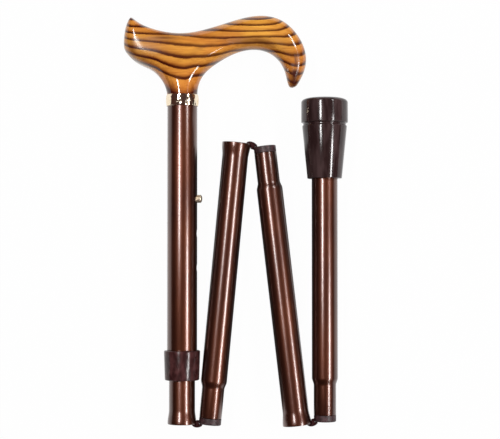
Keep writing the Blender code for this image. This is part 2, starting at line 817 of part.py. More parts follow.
def ferrule(frame, material):
    lip = FOOT_FACE - FERRULE_LENGTH
    rim_low = FOOT_FACE - FOOT_RIM_LENGTH
    shoulder = rim_low - FOOT_GROOVE_WIDTH
    seat = FOOT_FACE - FOOT_THICKNESS
    bore = FERRULE_BORE_RADIUS
    rounding = FOOT_ROUNDING
    profile = [(0.0, seat), (bore, seat), (bore, lip)]
    lip_middle = FERRULE_LIP_RADIUS - FERRULE_LIP_ROUNDING
    profile += arc((lip_middle, lip + FERRULE_LIP_ROUNDING), FERRULE_LIP_ROUNDING, -90, 0)
    profile += [
        (FERRULE_SHOULDER_RADIUS, shoulder),
        (FOOT_RADIUS - FOOT_GROOVE_DEPTH, shoulder + FOOT_GROOVE_SLOPE),
        (FOOT_RADIUS - FOOT_GROOVE_DEPTH, rim_low - FOOT_GROOVE_SLOPE),
        (FOOT_RADIUS, rim_low),
    ]
    edge_middle = (FOOT_RADIUS - rounding, FOOT_FACE - rounding)
    profile += arc(edge_middle, rounding, 0, 90, FOOT_ROUNDING_STEPS)
    for radius in reversed(TREAD_RADII):
        profile += [
            (radius + TREAD_WIDTH, FOOT_FACE),
            (radius + TREAD_WIDTH, FOOT_FACE - TREAD_DEPTH),
            (radius, FOOT_FACE - TREAD_DEPTH),
            (radius, FOOT_FACE),
        ]
    profile += [(0.0, FOOT_FACE)]
    return turned_piece("ferrule", profile, frame, material)


def ferrule_washer(frame, material):
    low = SECTION_4_LENGTH + TOUCH_GAP
    radius = FERRULE_BORE_RADIUS - TOUCH_GAP
    high = low + WASHER_THICKNESS
    profile = [(0.0, low), (radius, low), (radius, high), (0.0, high)]
    return turned_piece("ferrule_washer", profile, frame, material)


# Assembly


def handle_section(materials):
    """The handle, its tube and the tube that telescopes in it. It returns the latter's socket."""
    mouth = Vector((FIRST_AXIS_X, MOUTH_Y, LEVEL))
    matrix = section_matrix(mouth, 0.0, False)
    upper = make_frame("upper_frame", matrix)
    handle(upper, materials["wood"])
    brass_ring(upper, materials["brass"])
    handle_plug(upper, materials["nylon"])
    handle_screw(upper, materials["steel"])
    outer_tube(upper, materials["bronze"])
    collar_bush(upper, materials["nylon"])
    collar = make_frame("collar_twist_axis", matrix, upper)
    locking_collar(collar, materials["collar"])

    sliding = make_frame("height_adjust_axis", matrix, upper)
    inner_tube(sliding, materials["bronze"])
    anchor_top = TOP_ANCHOR_HEIGHT + ANCHOR_LENGTH
    cord_anchor("elastic_anchor_top", TOP_ANCHOR_HEIGHT, sliding, materials["nylon"])
    crimp_low = anchor_top + TOUCH_GAP
    cord_crimp("elastic_crimp_top", crimp_low, sliding, materials["steel"])
    cord_end = crimp_low + CRIMP_LENGTH + CORD_TAIL
    straight_cord("elastic_run_1", CORD_IN_SOCKET, cord_end, sliding, materials["cord"])
    button_spring(sliding, materials["steel"])
    button_place = matrix @ Vector((0.0, 0.0, BUTTON_HEIGHT))
    outwards = frame_matrix(button_place, Vector((1, 0, 0)), Vector((0, 1, 0)))
    snap_button(make_frame("button_press_axis", outwards, sliding), materials["brass"])
    return Socket(sliding, 0.0, -1.0)


def folding_section(number, socket, setback, angle, downwards, materials):
    """What every folding section has: the elastic that joins it, its cap and its frame."""
    hinge, frame = fold_frames(number, socket, setback, angle, downwards)
    elastic_bend(f"elastic_bend_{number - 1}", socket, frame, hinge, materials["cord"])
    neck_cap(f"section_{number}_cap", frame, materials["plastic"])
    return frame


def middle_section(number, socket, setback, angle, downwards, length, materials):
    """A section with a neck and a socket. It returns the socket."""
    frame = folding_section(number, socket, setback, angle, downwards, materials)
    middle_tube(f"section_{number}_tube", length, frame, materials["bronze"])
    high = length - CORD_IN_SOCKET
    straight_cord(f"elastic_run_{number}", CORD_IN_CAP, high, frame, materials["cord"])
    return Socket(frame, length, 1.0)


def foot_section(socket, materials):
    frame = folding_section(4, socket, NECK_4_SETBACK, 0.0, False, materials)
    foot_tube(frame, materials["bronze"])
    anchor_low = SECTION_4_LENGTH - FOOT_ANCHOR_DEPTH
    cord_anchor("elastic_anchor_foot", anchor_low, frame, materials["nylon"])
    crimp_low = anchor_low + ANCHOR_LENGTH + TOUCH_GAP
    cord_crimp("elastic_crimp_foot", crimp_low, frame, materials["steel"])
    cord_end = crimp_low + CRIMP_LENGTH + CORD_TAIL
    straight_cord("elastic_run_4", CORD_IN_CAP, cord_end, frame, materials["cord"])
    ferrule_washer(frame, materials["steel"])
    ferrule(frame, materials["rubber"])


def main():
    clear_scene()
    materials = make_materials()
    first = handle_section(materials)
    second = middle_section(
        2, first, NECK_2_SETBACK, SECTION_2_TILT, False, SECTION_2_LENGTH, materials
    )
    third = middle_section(
        3, second, NECK_3_SETBACK, SECTION_3_TILT, True, SECTION_3_LENGTH, materials
    )
    foot_section(third, materials)


main()
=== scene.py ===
"""Looks of a folding walking cane with a derby handle, folded up and lying on its side.

Metres, +Z up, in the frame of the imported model: the handle is at +Y, and the four sections zigzag
towards +X with their axes in one level plane. Turned pieces are modelled standing on the origin,
round Z, and are then laid on the axis of the node that they stand for.
"""

import json
import logging
import math
from contextlib import contextmanager
from dataclasses import dataclass, replace
from enum import Enum
from typing import Callable, Iterator, Sequence

import bmesh
import bpy
from mathutils import Matrix, Vector


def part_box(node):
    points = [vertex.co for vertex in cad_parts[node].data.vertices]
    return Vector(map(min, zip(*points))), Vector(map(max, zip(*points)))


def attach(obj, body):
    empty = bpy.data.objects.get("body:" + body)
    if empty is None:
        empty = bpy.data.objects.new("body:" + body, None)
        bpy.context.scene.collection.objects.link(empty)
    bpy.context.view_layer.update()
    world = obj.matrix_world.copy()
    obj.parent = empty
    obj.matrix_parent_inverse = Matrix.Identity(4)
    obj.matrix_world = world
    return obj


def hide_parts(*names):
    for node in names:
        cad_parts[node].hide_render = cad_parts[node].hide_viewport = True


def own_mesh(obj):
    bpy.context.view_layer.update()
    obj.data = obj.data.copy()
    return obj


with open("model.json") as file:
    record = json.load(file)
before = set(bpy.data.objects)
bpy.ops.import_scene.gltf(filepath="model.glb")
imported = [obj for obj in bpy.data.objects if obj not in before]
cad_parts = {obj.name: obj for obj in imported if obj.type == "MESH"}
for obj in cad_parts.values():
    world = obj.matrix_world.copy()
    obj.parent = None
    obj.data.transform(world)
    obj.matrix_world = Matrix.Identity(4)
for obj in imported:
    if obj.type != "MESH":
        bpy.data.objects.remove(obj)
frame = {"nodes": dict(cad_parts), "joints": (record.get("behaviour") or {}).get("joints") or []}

log = logging.getLogger("cane")

MM = 0.001
UP = Vector((0.0, 0.0, 1.0))
TO_HANDLE = Vector((0.0, 1.0, 0.0))

# How finely pieces are made
ROUND_SIDES = 96
SMALL_SIDES = 48
MERGE = 0.001 * MM
SMOOTH_ANGLE = math.radians(32)
EDGE_ANGLE = math.radians(28)

# The room left between pieces that go into each other
CLEARANCE = 0.3 * MM

# Where nearly all of a noise's values lie, where most of them do, and where its peaks rise
NOISE_ENDS = (0.3, 0.7)
NOISE_HEART = (0.35, 0.65)
NOISE_PEAKS = (0.4, 0.7)

Object = bpy.types.Object
Socket = bpy.types.NodeSocket
Colour = tuple[float, float, float]
Pair = tuple[float, float]
Profile = list[Pair]
Value = Socket | float | Sequence[float]


class Slot(Enum):
    """The record's material slots."""

    WOOD = "wood"
    BRASS = "brass"
    BRONZE = "bronze_tube"
    BROWN_PLASTIC = "brown_plastic"
    BLACK_PLASTIC = "black_plastic"
    NYLON = "white_nylon"
    CORD = "elastic_cord"
    RUBBER = "rubber"
    STEEL = "steel"


class Body(Enum):
    """The bodies that pieces ride on."""

    HANDLE = "handle_section"
    COLLAR = "locking_collar"
    ADJUSTABLE = "adjustable_section"
    BUTTON = "snap_button"
    SECTION_2 = "section_2"
    SECTION_3 = "section_3"
    SECTION_4 = "section_4"


def srgb(red: int, green: int, blue: int) -> Colour:
    """A colour picked on a screen, from 0 to 255 each, as a shader's linear numbers."""
    shares = (red / 255, green / 255, blue / 255)
    return tuple(((c + 0.055) / 1.055) ** 2.4 if c > 0.04045 else c / 12.92 for c in shares)


# Places


@dataclass(frozen=True)
class Place:
    """Where a turned piece lies: its low end on its axis, its direction and its reach."""

    origin: Vector
    along: Vector
    length: float
    radius: float

    @classmethod
    def of(cls, node: str, along: Vector) -> "Place":
        """Measures a CAD node that lies level.

        Args:
            node: The node's name.
            along: The direction of its axis.

        Returns:
            Its place, with the origin at the end that along points away from.
        """
        across = along.cross(UP)
        low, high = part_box(node)
        points = [vertex.co for vertex in frame["nodes"][node].data.vertices]
        heights = [point.dot(along) for point in points]
        reaches = [point.dot(across) for point in points]
        middle = (min(reaches) + max(reaches)) / 2
        origin = along * min(heights) + across * middle + UP * (low.z + high.z) / 2
        return cls(origin, along, max(heights) - min(heights), (max(reaches) - min(reaches)) / 2)

    def matrix(self) -> Matrix:
        """The place as a frame: Z along the axis, X level and at +X of the world.

        Returns:
            The matrix from there to the world.
        """
        across = self.along.cross(UP)
        if across.x < 0:
            across = -across
        turn = Matrix((across, self.along.cross(across), self.along)).transposed()
        return Matrix.Translation(self.origin) @ turn.to_4x4()

    def point(self, across: float, height: float) -> Vector:
        """A point beside the axis, level with it, in the world."""
        return self.matrix() @ Vector((across, 0.0, height))

    def far_end(self) -> "Place":
        """The other end, looking back along the axis."""
        end = self.origin + self.along * self.length
        return Place(end, -self.along, self.length, self.radius)

    def moved(self, height: float) -> "Place":
        """The same axis with its origin further along."""
        return Place(self.origin + self.along * height, self.along, self.length, self.radius)


def joint_axis(name: str) -> Vector:
    """The direction of one of the frame's joints.

    Args:
        name: The joint's name.

    Returns:
        Its axis, as a unit vector.
    """
    for joint in frame["joints"]:
        if joint["name"] == name:
            return Vector(joint["axis"]).normalized()
    raise KeyError(name)


# Modelling


def activate(piece: Object) -> None:
    """Makes a piece the only selected object.

    Args:
        piece: The object.
    """
    bpy.ops.object.select_all(action="DESELECT")
    piece.select_set(True)
    bpy.context.view_layer.objects.active = piece


@contextmanager
def editing(piece: Object) -> Iterator[None]:
    """Edit mode on one piece, with all of it selected.

    Args:
        piece: The mesh to edit.
    """
    activate(piece)
    bpy.ops.object.mode_set(mode="EDIT")
    bpy.ops.mesh.select_mode(type="VERT")
    bpy.ops.mesh.select_all(action="SELECT")
    yield
    bpy.ops.object.mode_set(mode="OBJECT")


def close_to(places: Sequence[Vector]) -> Callable[[bmesh.types.BMVert], bool]:
    """A test for vertices that stand on one of some places."""
    return lambda vertex: any((vertex.co - place).length < 10 * MERGE for place in places)


def pick(piece: Object, kind: str, wanted: Callable[[object], bool]) -> int:
    """Selects elements in edit mode, and nothing else.

    Args:
        piece: The mesh that is being edited.
        kind: "VERT", "EDGE" or "FACE".
        wanted: The test for one element.

    Returns:
        How many were selected.
    """
    bpy.ops.mesh.select_mode(type=kind)
    bpy.ops.mesh.select_all(action="DESELECT")
    mesh = bmesh.from_edit_mesh(piece.data)
    elements = {"VERT": mesh.verts, "EDGE": mesh.edges, "FACE": mesh.faces}[kind]
    found = [element for element in elements if wanted(element)]
    for element in found:
        element.select_set(True)
    mesh.select_flush_mode()
    bmesh.update_edit_mesh(piece.data)
    return len(found)


def turned(profile: Profile, sides: int = ROUND_SIDES) -> Object:
    """Draws a point out along a profile and spins it about Z.

    Args:
        profile: Points as (radius, height). Where they end as they start, the shape is a ring.
        sides: How many sides the round gets.

    Returns:
        The closed piece, standing round Z.
    """
    bpy.ops.object.select_all(action="DESELECT")
    bpy.ops.mesh.primitive_plane_add(size=MM)
    piece = bpy.context.object
    with editing(piece):
        bpy.ops.mesh.merge(type="CENTER")
        bpy.ops.transform.translate(value=(profile[0][0], 0.0, profile[0][1]))
        for (radius, height), (next_radius, next_height) in zip(profile, profile[1:]):
            step = (next_radius - radius, 0.0, next_height - height)
            bpy.ops.mesh.extrude_vertices_move(TRANSFORM_OT_translate={"value": step})
        bpy.ops.mesh.select_all(action="SELECT")
        bpy.ops.mesh.spin(steps=sides, angle=math.tau, center=(0, 0, 0), axis=(0, 0, 1))
        bpy.ops.mesh.select_all(action="SELECT")
        bpy.ops.mesh.remove_doubles(threshold=MERGE)
        bpy.ops.mesh.normals_make_consistent(inside=False)
    return piece


@dataclass(frozen=True)
class Ring:
    """One flattened ring of a swept piece, standing upright on a level path.

    Attributes:
        middle: Its middle, in the frame.
        half: From its middle to its edge, in the level plane.
        half_width: From its middle to its top.
    """

    middle: Vector
    half: Vector
    half_width: float

    def scaled(self, share: float) -> "Ring":
        """The same ring in another size."""
        return Ring(self.middle, self.half * share, self.half_width * share)


def draw_on(before: Ring, after: Ring) -> None:
    """Extrudes the selected ring to its next place, and resizes and turns it there.

    Args:
        before, after: The ring as it is, and as it is to be.
    """
    move = tuple(after.middle - before.middle)
    bpy.ops.mesh.extrude_region_move(TRANSFORM_OT_translate={"value": move})
    grow = after.half.length / before.half.length
    size = (grow, grow, after.half_width / before.half_width)
    bpy.ops.transform.resize(value=size, center_override=after.middle)
    angle = before.half.xy.angle_signed(after.half.xy)
    bpy.ops.transform.rotate(value=angle, orient_axis="Z", center_override=after.middle)


def swept(rings: Sequence[Ring], sides: int) -> Object:
    """Draws a filled ring along a level path, turning and resizing it as it goes.

    Args:
        rings: The ring at each step of the path.
        sides: How many sides the ring has. With four it is a rectangle.

    Returns:
        The closed piece, in place.
    """
    first = rings[0]
    out = first.half.normalized()
    turn = Matrix((out, UP, out.cross(UP))).transposed()
    reach = first.half.length
    if sides == 4:
        turn @= Matrix.Rotation(math.radians(45), 3, "Z")
        reach *= math.sqrt(2)
    bpy.ops.object.select_all(action="DESELECT")
    bpy.ops.mesh.primitive_circle_add(
        vertices=sides, radius=reach, fill_type="NGON", location=first.middle,
        rotation=turn.to_euler(),
    )
    piece = bpy.context.object
    bpy.ops.object.transform_apply(location=True, rotation=True, scale=True)
    with editing(piece):
        stretch = (1.0, 1.0, first.half_width / first.half.length)
        bpy.ops.transform.resize(value=stretch, center_override=first.middle)
        for before, after in zip(rings, rings[1:]):
            draw_on(before, after)
        bpy.ops.mesh.select_all(action="SELECT")
        bpy.ops.mesh.normals_make_consistent(inside=False)
    return piece


def sideways(route: Sequence[Vector]) -> list[Vector]:
    """The level direction across a path, at each of its points."""
    pairs = zip(route[:1] + route[:-1], route[1:] + route[-1:])
    return [(after - before).normalized().cross(UP) for before, after in pairs]


def smooth_route(points: Sequence[Vector], spacing: float) -> list[Vector]:
    """Points on a smooth curve through the given ones.

    Args:
        points: What the curve goes through.
        spacing: How far apart its points are, about.

    Returns:
        The points, both ends included.
    """
    padded = [2 * points[0] - points[1], *points, 2 * points[-1] - points[-2]]
    route = [points[0]]
    for before, start, end, after in zip(padded, padded[1:], padded[2:], padded[3:]):
        steps = max(1, round((end - start).length / spacing))
        for step in range(1, steps + 1):
            t = step / steps
            bend = 2 * before - 5 * start + 4 * end - after
            swing = 3 * start - before - 3 * end + after
            route.append((2 * start + (end - before) * t + bend * t**2 + swing * t**3) / 2)
    return route


def closed(profile: Profile) -> Profile:
    """The profile of a ring, which comes back to its first point."""
    return profile + profile[:1]


def arc(middle: Pair, reach: Pair, start: float, end: float, steps: int) -> Profile:
    """Points on a round of a profile.

    Args:
        middle: The round's centre, as (radius, height).
        reach: How far it goes from there, outwards and up.
        start, end: Angles in degrees; 0 points outwards and 90 up.
        steps: How many chords.

    Returns:
        The points, both ends included.
    """
    points = []
    for step in range(steps + 1):
        angle = math.radians(start + (end - start) * step / steps)
        across, up = reach[0] * math.cos(angle), reach[1] * math.sin(angle)
        points.append((middle[0] + across, middle[1] + up))
    return points


def eased(start: Pair, end: Pair, steps: int) -> Profile:
    """A profile's S-shaped passage between two radii, as a drawn tube has.

    Args:
        start, end: Points as (radius, height).
        steps: How many chords.

    Returns:
        The points, both ends included.
    """
    points = []
    for step in range(steps + 1):
        share = step / steps
        rise = share * share * (3 - 2 * share)
        radius = start[0] + (end[0] - start[0]) * rise
        points.append((radius, start[1] + (end[1] - start[1]) * share))
    return points


def apply_modifier(piece: Object, kind: str, **settings: object) -> None:
    """Adds a modifier and applies it.

    Args:
        piece: The mesh.
        kind: The modifier's type.
        settings: Its values.
    """
    activate(piece)
    modifier = piece.modifiers.new(kind.lower(), kind)
    for name, value in settings.items():
        setattr(modifier, name, value)
    bpy.ops.object.modifier_apply(modifier=modifier.name)


def break_edges(piece: Object, width: float, segments: int = 3) -> None:
    """Rounds every sharp edge of a piece a little.

    Args:
        piece: The mesh.
        width: The rounding's width.
        segments: Faces across it.
    """
    apply_modifier(
        piece, "BEVEL", width=width, segments=segments, limit_method="ANGLE",
        angle_limit=EDGE_ANGLE, use_clamp_overlap=True,
    )


def bore(piece: Object, radius: float, start: Vector, end: Vector) -> None:
    """Drills a round hole through a piece.

    Args:
        piece: The mesh that is drilled.
        radius: The drill's radius.
        start, end: The middles of the drill's two ends.
    """
    drill_axis = end - start
    bpy.ops.object.select_all(action="DESELECT")
    bpy.ops.mesh.primitive_cylinder_add(
        vertices=SMALL_SIDES, radius=radius, depth=drill_axis.length, location=(start + end) / 2,
        rotation=drill_axis.to_track_quat("Z", "Y").to_euler(),
    )
    drill = bpy.context.object
    apply_modifier(piece, "BOOLEAN", object=drill, operation="DIFFERENCE", solver="EXACT")
    bpy.data.objects.remove(drill)


def lay(piece: Object, place: Place) -> None:
    """Lays a piece that stands round Z on a place's axis, and keeps that in its mesh.

    Args:
        piece: The mesh, standing on the origin.
        place: Where it goes.
    """
    activate(piece)
    piece.matrix_world = place.matrix()
    bpy.ops.object.transform_apply(location=True, rotation=True, scale=True)


def present(piece: Object, node: str, look: str, body: Body, finish: "Finish") -> None:
    """Names and dresses a finished piece and puts it in the frame.

    Args:
        piece: The mesh, in place.
        node: The CAD node that it stands for.
        look: What its name adds to the node's.
        body: The body it rides on.
        finish: Its surface, which knows the record's slot that it comes from.
    """
    name, slot = f"{node}_{look}", finish.slot
    piece.name = name
    piece.data.name = name
    piece.data.materials.clear()
    piece.data.materials.append(finish.material())
    activate(piece)
    bpy.ops.object.shade_smooth_by_angle(angle=SMOOTH_ANGLE)
    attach(piece, body.value)
    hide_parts(node)
    log.info("%s: %d faces, on %s", name, len(piece.data.polygons), body.value)


# Surfaces


@dataclass(frozen=True)
class Noise:
    """A noise in a piece's own coordinates.

    Attributes:
        scale: How fine it is.
        detail, roughness: How many finer layers it has, and how much they count.
        stretch: How fine it is along each axis, as a share of the scale.
    """

    scale: float
    detail: float = 2.0
    roughness: float = 0.5
    stretch: tuple[float, float, float] = (1.0, 1.0, 1.0)


class Graph:
    """The nodes of one material or world, added and joined by short calls."""

    def __init__(self, tree: bpy.types.NodeTree) -> None:
        """Starts with an empty tree."""
        self.tree = tree
        tree.nodes.clear()

    def add(
        self, kind: str, inputs: dict[str | int, Value] | None = None, **settings: object
    ) -> bpy.types.Node:
        """Adds a node.

        Args:
            kind: The node's type, without its "ShaderNode".
            inputs: What its sockets are fed with, a plain value or another node's output.
            settings: The node's own options.

        Returns:
            The node.
        """
        node = self.tree.nodes.new("ShaderNode" + kind)
        for name, value in settings.items():
            setattr(node, name, value)
        for key, value in (inputs or {}).items():
            if isinstance(value, bpy.types.NodeSocket):
                self.tree.links.new(value, node.inputs[key])
            else:
                node.inputs[key].default_value = value
        return node

    def maths(self, operation: str, first: Value, second: Value = 0.0) -> Socket:
        """One sum of two values."""
        return self.add("Math", {0: first, 1: second}, operation=operation).outputs[0]

    def spread(
        self, value: Value, low: float, high: float, to_low: float = 0.0, to_high: float = 1.0
    ) -> Socket:
        """Maps a range to another one and holds it there."""
        ends = {"From Min": low, "From Max": high, "To Min": to_low, "To Max": to_high}
        return self.add("MapRange", {"Value": value, **ends}).outputs[0]

    def follow(self, noise: Socket, low: float, high: float) -> Socket:
        """A value that follows a noise from one end to the other."""
        return self.spread(noise, *NOISE_ENDS, low, high)

    def mix(self, share: Value, first: Value, second: Value) -> Socket:
        """Blends two colours."""
        first, second = ((*c, 1.0) if isinstance(c, tuple) else c for c in (first, second))
        return self.add("Mix", {0: share, 6: first, 7: second}, data_type="RGBA").outputs[2]

    def places(self, stretch: Sequence[float] = (1, 1, 1), lean: float = 0.0) -> Socket:
        """Object coordinates, stretched.

        Args:
            stretch: How much each axis counts.
            lean: Turns the pattern's Y from the world's +Y towards +X, in radians.

        Returns:
            The coordinates' socket.
        """
        plain = self.add("TexCoord").outputs["Object"]
        turn = self.add("Mapping", {"Vector": plain, "Rotation": (0.0, 0.0, lean)})
        inputs = {"Vector": turn.outputs[0], "Scale": tuple(stretch)}
        return self.add("Mapping", inputs).outputs[0]

    def noise(self, noise: Noise, lean: float = 0.0) -> Socket:
        """A noise's value, about 0.5.

        Args:
            noise: The noise.
            lean: How far its pattern is turned, as in places.

        Returns:
            The value's socket.
        """
        inputs = {"Scale": noise.scale, "Detail": noise.detail, "Roughness": noise.roughness}
        vector = self.places(noise.stretch, lean)
        return self.add("TexNoise", {"Vector": vector, **inputs}).outputs[0]

    def steps(self, value: Value, stops: Sequence[Pair]) -> Socket:
        """A ramp of plain values.

        Args:
            value: Where on the ramp, from 0 to 1.
            stops: Positions and their values.

        Returns:
            The value's socket.
        """
        node = self.add("ValToRGB", {0: value})
        elements = node.color_ramp.elements
        while len(elements) < len(stops):
            elements.new(1.0)
        for element, (position, level) in zip(elements, stops):
            element.position = position
            element.color = (level, level, level, 1.0)
        return node.outputs[0]

    def bump(
        self, height: Socket, depth: float, strength: float = 1.0, under: Socket | None = None
    ) -> Socket:
        """A surface's relief.

        Args:
            height: The relief, from 0 to 1.
            depth: How deep 1 is, in metres.
            strength: How much of it shows.
            under: Another relief that this one lies on.

        Returns:
            The normal's socket.
        """
        inputs = {"Height": height, "Distance": depth, "Strength": strength}
        if under is not None:
            inputs["Normal"] = under
        return self.add("Bump", inputs).outputs[0]


@dataclass(frozen=True)
class Finish:
    """A surface. Each kind says what its shader is fed with.

    Attributes:
        name: Its material's name.
        slot: The record's slot that it comes from.
    """

    name: str
    slot: Slot

    def material(self) -> bpy.types.Material:
        """The finish as a material, which is made once.

        Returns:
            The material.
        """
        made = bpy.data.materials.get(self.name)
        if made is None:
            made = bpy.data.materials.new(self.name)
            made.use_nodes = True
            graph = Graph(made.node_tree)
            shader = graph.add("BsdfPrincipled", self.sockets(graph))
            graph.add("OutputMaterial", {"Surface": shader.outputs[0]})
        return made

    def sockets(self, graph: Graph) -> dict[str, Value]:
        """What the Principled shader's sockets are fed with."""
        raise NotImplementedError


@dataclass(frozen=True)
class Bronze(Finish):
    """Dark bronze metal, drawn along the tube, under a clear hard coat."""

    slot: Slot = Slot.BRONZE
    lean: float = 0.0
    dark: Colour = srgb(72, 30, 13)
    warm: Colour = srgb(94, 44, 20)
    lines: Noise = Noise(1400.0, 3.0, stretch=(1.0, 0.02, 1.0))
    cloud: Noise = Noise(45.0, 3.0, stretch=(1.0, 0.4, 1.0))
    line_depth: float = 0.004 * MM
    roughness: Pair = (0.38, 0.46)

    def sockets(self, graph: Graph) -> dict[str, Value]:
        """Metal whose tone drifts slowly and whose gloss has fine lines along the tube.

        Args:
            graph: The material's nodes.

        Returns:
            The sockets' names with their values or sources.
        """
        lines = graph.noise(self.lines, self.lean)
        tone = graph.spread(graph.noise(self.cloud, self.lean), *NOISE_HEART)
        return {
            "Base Color": graph.mix(tone, self.dark, self.warm),
            "Metallic": 1.0,
            "Roughness": graph.follow(lines, *self.roughness),
            "Normal": graph.bump(lines, self.line_depth, strength=0.5),
            "Coat Weight": 1.0,
            "Coat Roughness": 0.22,
            "Coat IOR": 1.7,
        }


@dataclass(frozen=True)
class LacqueredWood(Finish):
    """Golden wood with dark growth lines, under a thick clear lacquer.

    The piece's "grain" attribute counts the growth lines, and a second attribute darkens it: real
    stains and end grain, and painted shade along the tail's edges.

    Attributes:
        gold, amber: The ground, which drifts between the two.
        brown, dark: The growth lines' shade, and the lines.
        shifts: What makes the lines waver, and by how much of their pitch.
        patch: Where the lines are stronger and weaker.
        line, shade: How dark both are from one line to the next.
        line_weight, shade_weight: A low and a high value of the patch, and both ones' strength there.
        fibre_weight, stain_and_shade_gloss: The same for the fibres' strength, and for the lacquer's
            roughness over the dark patches, real stains and painted shade alike.
        drift_ends: Where the ground's drift begins and ends.
    """

    slot: Slot = Slot.WOOD
    gold: Colour = srgb(232, 176, 82)
    amber: Colour = srgb(214, 146, 70)
    brown: Colour = srgb(148, 72, 16)
    dark: Colour = srgb(62, 13, 0)
    shifts: tuple[tuple[Noise, float], ...] = (
        (Noise(38.0, 3.0, stretch=(0.5, 1.0, 1.0)), 0.06),
        (Noise(700.0, stretch=(0.4, 1.0, 1.0)), 0.02),
    )
    patch: Noise = Noise(42.0, stretch=(0.35, 1.0, 1.0))
    fibre: Noise = Noise(900.0, 4.0, 0.6, (0.06, 1.0, 1.0))
    drift: Noise = Noise(28.0)
    ripple: Noise = Noise(160.0, 1.0)
    line: tuple[Pair, ...] = (
        (0.0, 1.0), (0.07, 0.15), (0.11, 0.0), (0.57, 0.0), (0.74, 0.5), (0.83, 1.0), (1.0, 1.0),
    )
    shade: tuple[Pair, ...] = (
        (0.0, 0.6), (0.1, 0.1), (0.35, 0.15), (0.62, 0.7), (0.78, 1.0), (1.0, 1.0),
    )
    line_weight: tuple[float, ...] = (0.35, 0.6, 0.8, 1.0)
    shade_weight: tuple[float, ...] = (0.35, 0.65, 0.15, 0.95)
    fibre_weight: tuple[float, ...] = (0.42, 0.7, 0.0, 0.45)
    stain_and_shade_gloss: tuple[float, ...] = (0.04, 0.4, 0.03, 0.35)
    drift_ends: Pair = (0.38, 0.62)
    fibre_depth: float = 0.02 * MM
    ripple_depth: float = 0.01 * MM
    roughness: Pair = (0.35, 0.5)

    def sockets(self, graph: Graph) -> dict[str, Value]:
        """Growth lines that darken slowly on one side and end sharply on the other.

        Args:
            graph: The material's nodes.

        Returns:
            The sockets' names with their values or sources.
        """
        count = graph.add("Attribute", attribute_name="grain").outputs["Fac"]
        stain_and_shade = graph.add("Attribute", attribute_name="stain_and_shade").outputs["Fac"]
        for noise, reach in self.shifts:
            count = graph.maths("ADD", count, graph.follow(graph.noise(noise), -reach, reach))
        share = graph.maths("FRACT", count)
        patch = graph.noise(self.patch)
        line_weight = graph.spread(patch, *self.line_weight)
        line = graph.maths("MULTIPLY", graph.steps(share, self.line), line_weight)
        shade_weight = graph.spread(patch, *self.shade_weight)
        shade = graph.maths("MULTIPLY", graph.steps(share, self.shade), shade_weight)
        fibre = graph.noise(self.fibre)
        fibres = graph.spread(fibre, *self.fibre_weight)
        drift = graph.spread(graph.noise(self.drift), *self.drift_ends)
        colour = graph.mix(drift, self.gold, self.amber)
        ripple = graph.noise(self.ripple)
        # The last weight is the dark patches: real stains and end grain, and painted shade along the
        # tail's edges.
        for weight, tone in (
            (fibres, self.brown), (shade, self.brown), (line, self.dark), (stain_and_shade, self.dark)
        ):
            colour = graph.mix(weight, colour, tone)
        return {
            "Base Color": colour,
            "Roughness": graph.follow(fibre, *self.roughness),
            "Specular IOR Level": 0.1,
            "Normal": graph.bump(fibre, self.fibre_depth, strength=0.4),
            "Coat Weight": 1.0,
            "Coat Roughness": graph.spread(stain_and_shade, *self.stain_and_shade_gloss),
            "Coat IOR": 1.52,
            "Coat Tint": (0.95, 0.84, 0.66, 1.0),
            "Coat Normal": graph.bump(ripple, self.ripple_depth, strength=0.4),
        }


@dataclass(frozen=True)
class PolishedBrass(Finish):
    """Pale polished brass with faint rubbing marks."""

    slot: Slot = Slot.BRASS
    colour: Colour = srgb(250, 236, 212)
    deep: Colour = srgb(242, 218, 182)
    rub: Noise = Noise(900.0, 3.0, stretch=(1.0, 6.0, 1.0))
    cloud: Noise = Noise(230.0, 1.0)
    cloud_depth: float = 0.7 * MM
    roughness: Pair = (0.07, 0.16)

    def sockets(self, graph: Graph) -> dict[str, Value]:
        """Bright metal, a little duller where it is rubbed.

        Args:
            graph: The material's nodes.

        Returns:
            The sockets' names with their values or sources.
        """
        cloud = graph.noise(self.cloud)
        tone = graph.spread(cloud, *NOISE_HEART)
        return {
            "Base Color": graph.mix(tone, self.colour, self.deep),
            "Metallic": 1.0,
            "Roughness": graph.follow(graph.noise(self.rub), *self.roughness),
            "Normal": graph.bump(cloud, self.cloud_depth),
        }


@dataclass(frozen=True)
class Moulded(Finish):
    """Dark moulded plastic or rubber: a fine skin over slow waves."""

    colour: Colour
    bloom: Colour
    wave: Noise
    wave_depth: float
    skin: Noise = Noise(1600.0)
    skin_depth: float = 0.006 * MM
    roughness: Pair = (0.15, 0.24)
    shine: float = 0.5

    def sockets(self, graph: Graph) -> dict[str, Value]:
        """Slow waves that break the highlights, and a fine skin.

        Args:
            graph: The material's nodes.

        Returns:
            The sockets' names with their values or sources.
        """
        skin = graph.noise(self.skin)
        wave = graph.noise(self.wave)
        waves = graph.bump(wave, self.wave_depth, strength=0.5)
        return {
            "Base Color": graph.mix(graph.spread(wave, *NOISE_PEAKS), self.colour, self.bloom),
            "Roughness": graph.follow(skin, *self.roughness),
            "Specular IOR Level": self.shine,
            "Normal": graph.bump(skin, self.skin_depth, strength=0.6, under=waves),
        }


